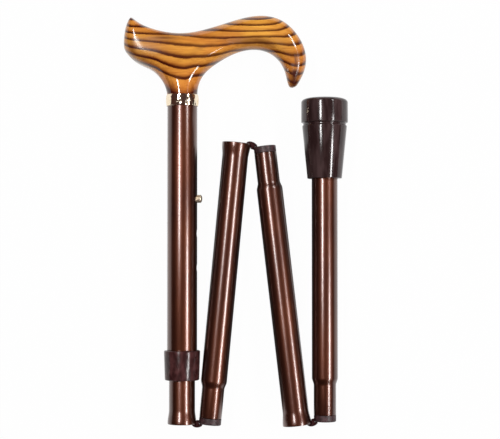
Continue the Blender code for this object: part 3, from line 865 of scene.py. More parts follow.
@dataclass(frozen=True)
class Braid(Finish):
    """The elastic's braided sleeve: two sets of threads that cross, with painted shade in the gaps
    between them.
    """

    slot: Slot = Slot.CORD
    thread: Colour = srgb(54, 20, 22)
    # The gaps between the threads, painted dark as shade in the recesses.
    gap: Colour = srgb(22, 6, 8)
    pitch: float = 0.7 * MM
    wobble: float = 0.6
    depth: float = 0.12 * MM
    fuzz: Noise = Noise(3000.0)
    roughness: Pair = (0.5, 0.7)

    def sockets(self, graph: Graph) -> dict[str, Value]:
        """Crossing threads with painted shade in their gaps, and a soft fuzz.

        Args:
            graph: The material's nodes.

        Returns:
            The sockets' names with their values or sources.
        """
        inputs = {"Scale": 2 / (self.pitch * math.tau), "Distortion": self.wobble}
        rows = []
        for angle in (math.radians(45), -math.radians(45)):
            wave = graph.add("TexWave", {"Vector": graph.places(lean=angle), **inputs})
            rows.append(wave.outputs["Fac"])
        weave = graph.maths("MAXIMUM", *rows)
        return {
            "Base Color": graph.mix(weave, self.gap, self.thread),
            "Roughness": graph.follow(graph.noise(self.fuzz), *self.roughness),
            "Specular IOR Level": 0.1,
            "Normal": graph.bump(weave, self.depth, strength=0.7),
        }


@dataclass(frozen=True)
class Nylon(Finish):
    """Off-white moulded nylon, a little translucent."""

    slot: Slot = Slot.NYLON
    colour: Colour = srgb(226, 223, 212)
    shade: Colour = srgb(206, 200, 184)
    cloud: Noise = Noise(220.0, 3.0)
    skin: Noise = Noise(1800.0)
    skin_depth: float = 0.01 * MM
    roughness: Pair = (0.36, 0.5)

    def sockets(self, graph: Graph) -> dict[str, Value]:
        """A cloudy tone under a satin skin.

        Args:
            graph: The material's nodes.

        Returns:
            The sockets' names with their values or sources.
        """
        tone = graph.spread(graph.noise(self.cloud), *NOISE_HEART)
        skin = graph.noise(self.skin)
        return {
            "Base Color": graph.mix(tone, self.colour, self.shade),
            "Roughness": graph.follow(skin, *self.roughness),
            "Normal": graph.bump(skin, self.skin_depth, strength=0.5),
            "Subsurface Weight": 0.15,
            "Subsurface Scale": 1.0 * MM,
        }


@dataclass(frozen=True)
class Steel(Finish):
    """Plain steel with fine tool marks."""

    slot: Slot = Slot.STEEL
    colour: Colour = srgb(196, 196, 198)
    shade: Colour = srgb(150, 148, 146)
    marks: Noise = Noise(1500.0, 3.0, stretch=(0.1, 3.0, 0.1))
    mark_depth: float = 0.01 * MM
    cloud: Noise = Noise(260.0, 3.0)
    roughness: Pair = (0.22, 0.38)

    def sockets(self, graph: Graph) -> dict[str, Value]:
        """Metal with marks across the axis.

        Args:
            graph: The material's nodes.

        Returns:
            The sockets' names with their values or sources.
        """
        marks = graph.noise(self.marks)
        tone = graph.spread(graph.noise(self.cloud), *NOISE_PEAKS)
        return {
            "Base Color": graph.mix(tone, self.colour, self.shade),
            "Metallic": 1.0,
            "Roughness": graph.follow(marks, *self.roughness),
            "Normal": graph.bump(marks, self.mark_depth, strength=0.5),
        }


UPRIGHT_BRONZE = Bronze("bronze_upright")
BRASS = PolishedBrass("polished_brass")
BUTTON_BRASS = PolishedBrass("satin_brass", roughness=(0.32, 0.45))
WOOD = LacqueredWood("lacquered_wood")
COLLAR_PLASTIC = Moulded(
    "collar_plastic", Slot.BROWN_PLASTIC, srgb(46, 22, 22), srgb(78, 46, 46),
    Noise(260.0, stretch=(1.0, 0.55, 1.0)), wave_depth=0.5 * MM, shine=0.35,
)
CAP_PLASTIC = Moulded(
    "cap_plastic", Slot.BLACK_PLASTIC, srgb(38, 18, 20), srgb(72, 44, 47), Noise(500.0),
    wave_depth=0.06 * MM, skin=Noise(900.0), skin_depth=0.05 * MM, roughness=(0.4, 0.6),
)
RUBBER = Moulded(
    "brown_rubber", Slot.RUBBER, srgb(38, 24, 24), srgb(66, 50, 50),
    Noise(260.0, stretch=(1.0, 0.16, 1.0)), wave_depth=0.07 * MM, skin_depth=0.008 * MM,
    roughness=(0.1, 0.17),
)
BRAID = Braid("elastic_braid")
NYLON = Nylon("white_nylon_moulded")
STEEL = Steel("plain_steel")


# Handle


@dataclass(frozen=True)
class Slice:
    """One slice across the handle, in millimetres from where the brass ring ends.

    Attributes:
        top, low: Its two edges, as (across, up) from the middle of the ring's end.
        half_width: Half its depth.
        leanness: 1 for an ellipse, less where its sides are flatter and its edges rounder.
    """

    top: Pair
    low: Pair
    half_width: float
    leanness: float

    def middle(self) -> Vector:
        """The slice's middle, along and above the tube's axis."""
        return (Vector(self.top) + Vector(self.low)) / 2

    def half(self) -> Vector:
        """From the slice's middle to its top edge."""
        return (Vector(self.top) - Vector(self.low)) / 2


@dataclass(frozen=True)
class GrainColumn:
    """How the growth lines cross the handle at one place along it, in millimetres of the frame.

    Attributes:
        x: The place.
        line: The height of the line that runs below the saddle.
        above, below: The pitch of the lines on either side of it.
        sag: How many lines the middle hangs below the edges.
    """

    x: float
    line: float
    above: float
    below: float
    sag: float = 0.0


@dataclass(frozen=True)
class StainAndShade:
    """A soft dark patch, in millimetres of the frame, and how far it is turned, in degrees. Most are
    real stains and end grain; those on the tail's edges are painted shade.
    """

    middle: Pair
    reach: Pair
    strength: float
    turn: float = 0.0

    def at(self, x: float, y: float) -> float:
        """How dark it makes a place.

        Args:
            x, y: The place, in millimetres of the frame.

        Returns:
            The darkness, from 0 to the patch's strength.
        """
        offset = Vector((x - self.middle[0], y - self.middle[1]))
        along, across = Matrix.Rotation(-math.radians(self.turn), 2) @ offset
        away = (along / self.reach[0]) ** 2 + (across / self.reach[1]) ** 2
        return self.strength * math.exp(-away)


@dataclass
class DerbyHandle:
    """The wooden handle and the brass ring under it.

    Attributes:
        slices: The slices, from the tail to the tip.
        sides: How many corners the cage has round a slice.
        tail_middle, tip_middle: Where the cage closes, from the middle of the ring's end.
        tail_shrink, tip_shrink: How large it is there, against the slice next to it.
        stem_slices, stem_sides: The patch of the underside that the stem leaves from.
        stem_rings: The stem's first rings, as (height, reach to the left, to the right, half
            width), in millimetres.
        tail_crease: How sharp the corner of the tail stays.
        stem_reach: How far the stem goes past the tube's end.
        grain: The growth lines at places along the handle.
        layers: The layers' thicknesses below the reference line, as shares of the pitch.
        reference_line: How many lines are counted there.
        last_line, slow_rate: The line after which those left of the stem get sparse, and how
            fast they are counted from there.
        crest: How high above the tubes' level the sag is used up.
        layer_lean: How much the layers lean as they rise.
        stains_and_shade: The dark patches: real stains and end grain, and painted shade along the
            tail's lower edges.
    """

    slices: tuple[Slice, ...] = (
        Slice((-37.7, 57.6), (-40.3, 29.8), 14.0, 0.45),
        Slice((-32.1, 52.9), (-33.8, 23.2), 15.3, 0.41),
        Slice((-24.8, 49.4), (-24.2, 19.6), 15.5, 0.38),
        Slice((-13.7, 46.2), (-15.0, 17.0), 15.7, 0.3),
        Slice((-2.7, 45.1), (-3.5, 15.5), 15.6, 0.55),
        Slice((8.3, 46.2), (8.5, 16.0), 15.0, 0.81),
        Slice((19.3, 49.1), (20.2, 19.8), 13.8, 1.08),
        Slice((30.4, 52.5), (30.8, 27.0), 12.9, 1.06),
        Slice((41.4, 56.1), (41.0, 31.8), 12.4, 1.04),
        Slice((52.4, 58.6), (50.5, 33.8), 12.2, 1.03),
        Slice((63.2, 58.8), (58.8, 33.2), 12.3, 0.9),
        Slice((74.6, 55.3), (65.6, 30.4), 12.1, 0.76),
        Slice((83.8, 46.6), (70.6, 26.2), 11.7, 0.63),
        Slice((89.6, 36.8), (73.8, 21.4), 10.8, 0.72),
        Slice((91.9, 27.0), (75.6, 17.2), 10.0, 0.81),
        Slice((90.4, 17.9), (76.6, 13.0), 8.9, 0.9),
        Slice((86.6, 10.4), (77.4, 9.2), 6.0, 0.9),
    )
    sides: int = 16
    tail_middle: Pair = (-43.1, 42.3)
    tail_shrink: float = 0.6
    tip_middle: Pair = (81.2, 5.2)
    tip_shrink: float = 0.5
    stem_slices: tuple[int, int] = (2, 6)
    stem_sides: tuple[int, int] = (6, 10)
    stem_rings: tuple[tuple[float, float, float, float], ...] = (
        (14.6, 17.6, 15.1, 11.0),
        (7.4, 12.7, 11.5, 10.6),
    )
    tail_crease: float = 0.4
    stem_reach: float = 0.9 * MM
    smoothing: int = 3
    grain: tuple[GrainColumn, ...] = (
        GrainColumn(-84.0, 139.0, 4.6, 4.9, 0.35),
        GrainColumn(-77.0, 138.5, 4.6, 5.2, 0.2),
        GrainColumn(-70.0, 138.0, 4.9, 5.5, 0.1),
        GrainColumn(-59.4, 137.5, 5.2, 6.1),
        GrainColumn(-52.9, 137.4, 5.4, 7.0),
        GrainColumn(-45.0, 137.0, 5.6, 7.75),
        GrainColumn(-37.6, 136.6, 5.6, 8.05),
        GrainColumn(-30.3, 135.8, 5.6, 7.4),
        GrainColumn(-23.0, 134.9, 5.7, 6.9),
        GrainColumn(-16.0, 134.7, 5.8, 6.3),
        GrainColumn(-9.4, 134.5, 5.6, 5.6),
        GrainColumn(-3.0, 134.9, 4.9, 4.9),
        GrainColumn(14.2, 135.4, 4.4, 4.8),
        GrainColumn(23.6, 135.4, 4.5, 5.5, 0.1),
        GrainColumn(31.6, 135.2, 4.9, 6.0, 0.3),
        GrainColumn(36.8, 134.7, 5.8, 6.7, 0.5),
        GrainColumn(42.0, 134.5, 6.2, 7.5, 0.7),
        GrainColumn(52.0, 133.9, 6.4, 7.6, 0.7),
    )
    layers: tuple[float, ...] = (0.93, 1.12, 0.98, 0.95)
    reference_line: float = 3.0
    last_line: float = 7.2
    slow_rate: float = 0.5
    crest: float = 14.0 * MM
    layer_lean: float = 0.146
    stains_and_shade: tuple[StainAndShade, ...] = (
        StainAndShade((-62.0, 126.0), (22.0, 12.0), 0.26),
        StainAndShade((37.0, 124.0), (9.0, 14.0), 0.18),
        StainAndShade((-2.0, 134.0), (14.0, 5.0), 0.08),
        StainAndShade((-52.0, 133.0), (11.0, 1.6), 0.6),
        StainAndShade((10.0, 131.2), (20.0, 2.8), 0.55),
        StainAndShade((24.0, 128.6), (9.0, 2.0), 0.4, -24.0),
        StainAndShade((-24.0, 126.0), (10.0, 1.6), 0.3, 24.0),
        StainAndShade((43.6, 108.2), (3.2, 3.0), 0.95),
        StainAndShade((42.6, 101.2), (3.2, 5.8), 0.95),
        StainAndShade((41.6, 113.8), (2.6, 0.9), 0.6),
        StainAndShade((43.8, 116.6), (0.9, 5.0), 0.5, 12.0),
        StainAndShade((45.6, 118.2), (2.4, 3.6), 0.3),
        StainAndShade((-79.0, 148.0), (3.0, 2.0), 0.5),
        # Painted shade: these two darken the tail's left and lower edges, where the surface turns
        # away from the light.
        StainAndShade((-75.5, 125.0), (3.6, 7.0), 0.4),
        StainAndShade((-67.0, 117.6), (7.0, 3.0), 0.35, -32.0),
        StainAndShade((-48.6, 100.4), (7.6, 0.8), 0.5, -66.0),
        StainAndShade((-45.6, 98.0), (5.6, 0.7), 0.4, -70.0),
        StainAndShade((-31.6, 96.0), (1.4, 3.4), 0.35),
    )
    ring_edge: float = 0.3 * MM
    ring_wall: float = 0.3 * MM
    ring_rounding: float = 0.35 * MM
    ring_steps: int = 20

    def __post_init__(self) -> None:
        """Reads the axis, the ring and the level from the frame."""
        self.axis = Place.of("outer_tube", TO_HANDLE)
        self.ring = Place.of("handle_ring", TO_HANDLE)
        self.base = self.ring.far_end().origin

    def in_frame(self, point: Vector) -> Vector:
        """A slice's point as a place in the frame."""
        return self.base + Vector((point.x, point.y, 0.0)) * MM

    def swell(self) -> float:
        """How much wider than its ring a smoothed cage has to be."""
        return 3 / (2 + math.cos(math.tau / self.sides))

    def slice_point(self, number: int, side: int) -> Vector:
        """Where one corner of the cage is.

        Args:
            number: Which slice.
            side: Which corner of it, from its top edge round.

        Returns:
            The place.
        """
        cut = self.slices[number]
        angle = math.tau * side / self.sides
        middle = self.in_frame(cut.middle() + cut.half() * math.cos(angle) * self.swell())
        return middle + UP * cut.half_width * MM * math.sin(angle) * self.swell()

    def cage(self) -> Object:
        """Draws a ring along the slices, from the tail to the tip.

        Returns:
            The closed cage, whose corners lie outside the slices by the swell.
        """
        rings = []
        for cut in self.slices:
            half = Vector((*cut.half(), 0.0)) * MM
            rings.append(Ring(self.in_frame(cut.middle()), half, cut.half_width * MM))
        tail, tip = rings[0].scaled(self.tail_shrink), rings[-1].scaled(self.tip_shrink)
        tail = replace(tail, middle=self.in_frame(Vector(self.tail_middle)))
        tip = replace(tip, middle=self.in_frame(Vector(self.tip_middle)))
        return swept([ring.scaled(self.swell()) for ring in (tail, *rings, tip)], self.sides)

    def sharpen_tail(self, piece: Object) -> None:
        """Keeps the corner where the handle's top meets its tail end.

        Args:
            piece: The cage.
        """
        on_corner = close_to([self.slice_point(0, side) for side in (-2, -1, 0, 1, 2)])
        with editing(piece):
            found = pick(piece, "EDGE", lambda edge: all(map(on_corner, edge.verts)))
            log.info("the tail's corner has %d edges", found)
            bpy.ops.transform.edge_crease(value=self.tail_crease)

    def stem(self) -> list[Ring]:
        """The stem's rings, from under the handle down into the tube and back up in it.

        Returns:
            The rings, without the cage's swell.
        """
        rings = []
        for height, left, right, half_width in self.stem_rings:
            middle = self.in_frame(Vector(((right - left) / 2, height)))
            half = Vector(((left + right) / 2, 0.0, 0.0)) * MM
            rings.append(Ring(middle, half, half_width * MM))
        radius = self.axis.radius
        depth = self.axis.far_end().origin.y - self.base.y
        for height in (0.0, depth + self.stem_reach, depth + self.stem_reach / 3):
            middle = self.base + TO_HANDLE * height
            rings.append(Ring(middle, Vector((radius, 0.0, 0.0)), radius))
        return rings

    def add_stem(self, piece: Object) -> None:
        """Opens the cage's underside and leads a stem from there into the ring.

        Args:
            piece: The cage.
        """
        slices = range(self.stem_slices[0], self.stem_slices[1] + 1)
        sides = range(self.stem_sides[0], self.stem_sides[1] + 1)
        on_patch = close_to([self.slice_point(number, side) for number in slices for side in sides])
        rings = self.stem()
        first, reach = rings[0], rings[0].half.length
        with editing(piece):
            found = pick(piece, "FACE", lambda face: all(map(on_patch, face.verts)))
            log.info("the stem leaves from %d faces", found)
            bpy.ops.mesh.delete(type="FACE")
            bpy.ops.mesh.select_all(action="DESELECT")
            bpy.ops.mesh.primitive_circle_add(
                vertices=self.sides, radius=reach * self.swell(), location=first.middle,
                rotation=(math.pi / 2, 0.0, 0.0),
            )
            stretch = (1.0, 1.0, first.half_width / reach)
            bpy.ops.transform.resize(value=stretch, center_override=first.middle)
            pick(piece, "EDGE", lambda edge: len(edge.link_faces) < 2)
            bpy.ops.mesh.bridge_edge_loops()
            pick(piece, "EDGE", lambda edge: len(edge.link_faces) == 1)
            for before, after in zip(rings, rings[1:]):
                draw_on(before, after)
            bpy.ops.mesh.edge_face_add()
            bpy.ops.mesh.select_all(action="SELECT")
            bpy.ops.mesh.normals_make_consistent(inside=False)

    def fill_out(self, piece: Object) -> None:
        """Gives the sections flatter sides where the slices ask for it.

        Args:
            piece: The cage, whose corners are still on ellipses.
        """
        half = self.sides // 2
        with editing(piece):
            for number, cut in enumerate(self.slices):
                for side in range(1, half // 2):
                    turns = (side, half - side, half + side, self.sides - side)
                    corners = [self.slice_point(number, turn) for turn in turns]
                    pick(piece, "VERT", close_to(corners))
                    grow = math.sin(math.tau * side / self.sides) ** (cut.leanness - 1)
                    bpy.ops.transform.resize(value=(1.0, 1.0, grow), center_override=self.base)

    def grain_values(self, x: float) -> list[float]:
        """The grain columns' values at one place along the handle, on smooth curves through them.

        Args:
            x: The place, in millimetres of the frame.

        Returns:
            The reference line's height, the pitch above and below it, and the sag.
        """
        columns = self.grain
        start = max(0, min(len(columns) - 2, sum(column.x < x for column in columns) - 1))
        near = [columns[max(0, min(len(columns) - 1, start + step))] for step in (-1, 0, 1, 2)]
        gap = near[2].x - near[1].x
        share = min(1.0, max(0.0, (x - near[1].x) / gap))
        rise = share * share * (3 - 2 * share)
        leave = share * (1 - share) ** 2 * gap
        arrive = share * share * (share - 1) * gap
        values = []
        for name in ("line", "above", "below", "sag"):
            before, low, high, after = (getattr(column, name) for column in near)
            slope_low = (high - before) / (near[2].x - near[0].x)
            slope_high = (after - low) / (near[3].x - near[1].x)
            values.append(low + (high - low) * rise + slope_low * leave + slope_high * arrive)
        return values

    def grain_at(self, point: Vector) -> float:
        """How many growth lines lie above a place.

        Args:
            point: The place, in the frame.

        Returns:
            The count, with its fraction.
        """
        height = point.z - self.base.z
        x, y = point.x / MM, (point.y + self.layer_lean * height) / MM
        line, above, below, sag = self.grain_values(x)
        drop = line - y
        if drop > 0:
            layer = 0
            left = drop / below
            while layer < len(self.layers) and left > self.layers[layer]:
                left -= self.layers[layer]
                layer += 1
            thickness = self.layers[layer] if layer < len(self.layers) else 1.0
            passed = layer + left / thickness
        else:
            passed = drop / above
        count = self.reference_line + passed + sag * (1 - (height / self.crest) ** 2)
        if count > self.last_line and x < self.base.x / MM + self.stem_rings[0][2]:
            count = self.last_line + (count - self.last_line) * self.slow_rate
        return count

    def stain_and_shade_at(self, point: Vector) -> float:
        """How dark the patches make a place, with real stains and painted shade, from 0 to 1."""
        return min(1.0, sum(stain_and_shade.at(point.x / MM, point.y / MM) for stain_and_shade in self.stains_and_shade))

    def build_handle(self) -> None:
        """Makes the wooden handle with its stem."""
        piece = self.cage()
        self.sharpen_tail(piece)
        self.add_stem(piece)
        self.fill_out(piece)
        apply_modifier(piece, "SUBSURF", levels=self.smoothing, render_levels=self.smoothing)
        points = [vertex.co for vertex in piece.data.vertices]
        for name, measure in (("grain", self.grain_at), ("stain_and_shade", self.stain_and_shade_at)):
            attribute = piece.data.attributes.new(name, "FLOAT", "POINT")
            attribute.data.foreach_set("value", [measure(point) for point in points])
        present(piece, "handle", "wood", Body.HANDLE, WOOD)

    def build_ring(self) -> None:
        """Makes the barrel ring, bored to go over the tube."""
        wall = self.axis.radius + self.ring_wall
        edge = wall + self.ring_edge
        crown = self.ring.radius - edge
        barrel = []
        for step in range(self.ring_steps + 1):
            share = step / self.ring_steps
            barrel.append((edge + crown * 4 * share * (1 - share), self.ring.length * share))
        piece = turned(closed([(wall, 0.0)] + barrel + [(wall, self.ring.length)]))
        break_edges(piece, self.ring_rounding)
        lay(piece, self.ring)
        present(piece, "handle_ring", "brass", Body.HANDLE, BRASS)

    def build(self) -> None:
        """Makes the handle and its ring."""
        self.build_handle()
        self.build_ring()


# Tubes


@dataclass(frozen=True)
class TubeSizes:
    """What all lower tubes share.

    Attributes:
        neck_straight, neck_taper: The neck's narrow length, and its passage to the full radius.
        flare_length, flare_lip: The socket's widening length, and the straight rim at its end.
        cap_flange: How much of a cap stands out of the CAD's neck.
        cap_show: How much more of it the shorter neck leaves in view.
        steps: Chords along each passage.
    """

    radius: float = 9.5 * MM
    wall: float = 1.2 * MM
    neck_radius: float = 8.15 * MM
    neck_straight: float = 26.4 * MM
    neck_taper: float = 5.7 * MM
    flare_length: float = 10.5 * MM
    flare_radius: float = 10.55 * MM
    flare_lip: float = 1.0 * MM
    cap_flange: float = 4.1 * MM
    cap_show: float = 0.8 * MM
    edge: float = 0.25 * MM
    steps: int = 10

    def socket(self, rim: float) -> Profile:
        """A flared end, from its outside round the rim to its bore.

        Args:
            rim: The rim's height.

        Returns:
            The profile's points.
        """
        low, lip = rim - self.flare_length, rim - self.flare_lip
        outside = eased((self.radius, low), (self.flare_radius, lip), self.steps)
        inside = eased(
            (self.flare_radius - self.wall, rim), (self.radius - self.wall, low), self.steps
        )
        return outside + [(self.flare_radius, rim)] + inside

    def neck(self) -> Profile:
        """A drawn-in end, from its bore round its end and up its outside.

        Returns:
            The profile's points.
        """
        low, straight = self.cap_flange + self.cap_show, self.neck_straight
        high, bore_radius = straight + self.neck_taper, self.neck_radius - self.wall
        inside = eased((self.radius - self.wall, high), (bore_radius, straight), self.steps)
        outside = eased((self.neck_radius, straight), (self.radius, high), self.steps)
        return inside + [(bore_radius, low), (self.neck_radius, low)] + outside


TUBE = TubeSizes()


@dataclass
class HeightAdjuster:
    """The handle's tube, the tube that telescopes in it, the collar and the snap button.

    Attributes:
        hole_pitch, hole_count: The row of height holes, from the button's one down.
        collar_taper: How much narrower the collar is at its lower end.
        collar_top, collar_side: The walls round the collar's pocket.
        collar_pocket: Where the pocket starts to widen, and where it is at its widest.
        button_travel: How far the button goes in. Not used.
    """

    outer_wall: float = 1.3 * MM
    hole_pitch: float = 25.4 * MM
    hole_count: int = 3
    hole_radius: float = 3.1 * MM
    tube_edge: float = 0.2 * MM
    collar_taper: float = 0.6 * MM
    collar_rounding: float = 0.9 * MM
    collar_top: float = 1.6 * MM
    collar_side: float = 0.8 * MM
    collar_pocket: Pair = (2.5 * MM, 6.0 * MM)
    collar_steps: int = 8
    button_radius: float = 2.9 * MM
    button_flange: float = 0.8 * MM
    button_flange_radius: float = 4.0 * MM
    button_dome: float = 1.3 * MM
    button_steps: int = 12
    button_travel: float = 5.25 * MM
    spring_thickness: float = 0.8 * MM
    spring_steps: int = 32

    def __post_init__(self) -> None:
        """Reads the places from the frame."""
        self.outer = Place.of("outer_tube", TO_HANDLE)
        self.inner = Place.of("inner_tube", TO_HANDLE)
        self.collar = Place.of("locking_collar", TO_HANDLE)
        self.button = Place.of("snap_button", Vector((1.0, 0.0, 0.0)))

    def drill(self, piece: Object, tube: Place, radius: float, number: int = 0) -> None:
        """Drills a tube for the button, or for one of its places further down.

        Args:
            piece: The tube, standing on the origin.
            tube: Where it is going to lie.
            radius: Its radius.
            number: How many holes further down.
        """
        height = self.button.origin.y - tube.origin.y - number * self.hole_pitch
        start, end = Vector((0.0, 0.0, height)), Vector((2 * radius, 0.0, height))
        bore(piece, self.hole_radius, start, end)

    def build_outer_tube(self) -> None:
        """Makes the handle's tube with its row of holes."""
        radius, length = self.outer.radius, self.outer.length
        inside = radius - self.outer_wall
        piece = turned(closed([(inside, 0.0), (radius, 0.0), (radius, length), (inside, length)]))
        break_edges(piece, self.tube_edge)
        for number in range(self.hole_count):
            self.drill(piece, self.outer, radius, number)
        lay(piece, self.outer)
        present(piece, "outer_tube", "bronze", Body.HANDLE, UPRIGHT_BRONZE)

    def build_inner_tube(self) -> None:
        """Makes the telescoping tube, whose mouth is a socket."""
        length = self.inner.length
        flare = [(radius, -height) for radius, height in TUBE.socket(0.0)]
        top = [(TUBE.radius - TUBE.wall, length), (TUBE.radius, length)]
        piece = turned(closed(flare + top))
        break_edges(piece, TUBE.edge)
        self.drill(piece, self.inner, TUBE.radius)
        lay(piece, self.inner)
        present(piece, "inner_tube", "bronze", Body.ADJUSTABLE, UPRIGHT_BRONZE)

    def build_collar(self) -> None:
        """Makes the collar: a tapering sleeve with rounded ends and a pocket for its bush."""
        high, length, rounding = self.collar.radius, self.collar.length, self.collar_rounding
        low, reach = high - self.collar_taper, (rounding, rounding)
        slide, grip = TUBE.radius + CLEARANCE, self.outer.radius + CLEARANCE
        inside, ceiling = high - self.collar_side, length - self.collar_top
        seat, widest = self.collar_pocket
        profile = arc((low - rounding, rounding), reach, -90, 0, self.collar_steps)
        profile += arc((high - rounding, length - rounding), reach, 0, 90, self.collar_steps)
        profile += [(grip, length), (grip, ceiling), (inside, ceiling), (inside, widest)]
        profile += [(grip, seat), (slide, seat), (slide, 0.0)]
        piece = turned(closed(profile))
        lay(piece, self.collar)
        present(piece, "locking_collar", "moulded", Body.COLLAR, COLLAR_PLASTIC)

    def build_button(self) -> None:
        """Makes the domed snap button on its flange."""
        low, flange_radius = self.button_flange, self.button_flange_radius
        reach = (self.button_radius, self.button_dome)
        profile = [(0.0, 0.0), (flange_radius, 0.0), (flange_radius, low), (reach[0], low)]
        dome = (0.0, self.button.length - self.button_dome)
        profile += arc(dome, reach, 0, 90, self.button_steps)
        piece = turned(profile, SMALL_SIDES)
        lay(piece, self.button)
        present(piece, "snap_button", "brass", Body.BUTTON, BUTTON_BRASS)

    def build_spring(self) -> None:
        """Makes the strip behind the button, bent into a U."""
        low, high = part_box("button_spring")
        half = self.spring_thickness / 2
        reach = (high.x - low.x) / 2 - half
        middle = ((low.x + high.x) / 2, high.y - half - reach)
        route = [(high.x - half, low.y)]
        route += arc(middle, (reach, reach), 0, 180, self.spring_steps)
        route += [(low.x + half, self.button.origin.y)]
        places = [Vector((x, y, (low.z + high.z) / 2)) for x, y in route]
        half_width = (high.z - low.z) / 2
        rings = [Ring(at, side * half, half_width) for at, side in zip(places, sideways(places))]
        piece = swept(rings, 4)
        present(piece, "button_spring", "strip", Body.ADJUSTABLE, STEEL)
        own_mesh(piece)

    def build(self) -> None:
        """Makes both tubes, the collar, the button and its spring."""
        self.build_outer_tube()
        self.build_inner_tube()
        self.build_collar()
        self.build_button()
        self.build_spring()


# Folding sections


@dataclass
class FoldingSection:
    """A lower section: its tube, the cap on its neck and the elastic that leads into it.

    Attributes:
        number: Which section it is, counted from the handle's.
        body: The body that it rides on.
        before: The body of the section before it.
        socket_before: That section's socket, which it folds against.
        has_socket: Whether another section follows.
        cap_bore, cap_rim: The radii of the cap's funnel at its narrow end and its mouth.
        cap_funnel: How deep the funnel is.
        cap_plug: How far the cap reaches into the neck.
    """

    number: int
    body: Body
    before: Body
    socket_before: Place
    has_socket: bool
    cap_bore: float = 2.6 * MM
    cap_funnel: float = 5.5 * MM
    cap_rim: float = 6.6 * MM
    cap_plug: float = 8.0 * MM
    cap_edge: float = 0.7 * MM
    funnel_steps: int = 12
    edge_steps: int = 6

    def __post_init__(self) -> None:
        """Reads the section's axis from its seat joint, which draws its neck in."""
        self.along = -joint_axis(f"seat_{self.number - 1}")
        self.tube = Place.of(f"section_{self.number}_tube", self.along)
        self.cap = Place.of(f"section_{self.number}_cap", self.along)

    def build_tube(self) -> None:
        """Makes the bronze tube, with a neck and, on the middle sections, a socket."""
        lean = math.atan(self.along.x / self.along.y)
        finish = Bronze(f"bronze_section_{self.number}", lean=lean)
        rim = self.tube.length + TUBE.cap_flange
        if self.has_socket:
            end = TUBE.socket(rim)
        else:
            end = [(TUBE.radius, rim), (TUBE.radius - TUBE.wall, rim)]
        piece = turned(closed(TUBE.neck() + end))
        break_edges(piece, TUBE.edge)
        lay(piece, self.tube.moved(-TUBE.cap_flange))
        present(piece, f"section_{self.number}_tube", "bronze", self.body, finish)

    def build_cap(self) -> None:
        """Makes the dark cap, whose funnel lets the elastic in round a bend."""
        radius, edge = self.cap.radius, self.cap_edge
        flange = TUBE.cap_flange + TUBE.cap_show - CLEARANCE
        plug = radius - TUBE.wall - CLEARANCE
        profile = [(plug, flange + self.cap_plug), (self.cap_bore, flange + self.cap_plug)]
        profile += eased((self.cap_bore, self.cap_funnel), (self.cap_rim, 0.0), self.funnel_steps)
        profile += arc((radius - edge, edge), (edge, edge), -90, 0, self.edge_steps)
        profile += [(radius, flange), (plug, flange)]
        piece = turned(closed(profile))
        lay(piece, self.cap)
        present(piece, f"section_{self.number}_cap", "moulded", self.body, CAP_PLASTIC)

    def build(self) -> None:
        """Makes the section."""
        self.build_tube()
        self.build_cap()
        ElasticBend(self.number - 1, self.before, self.socket_before, self.cap).build()


# Elastic


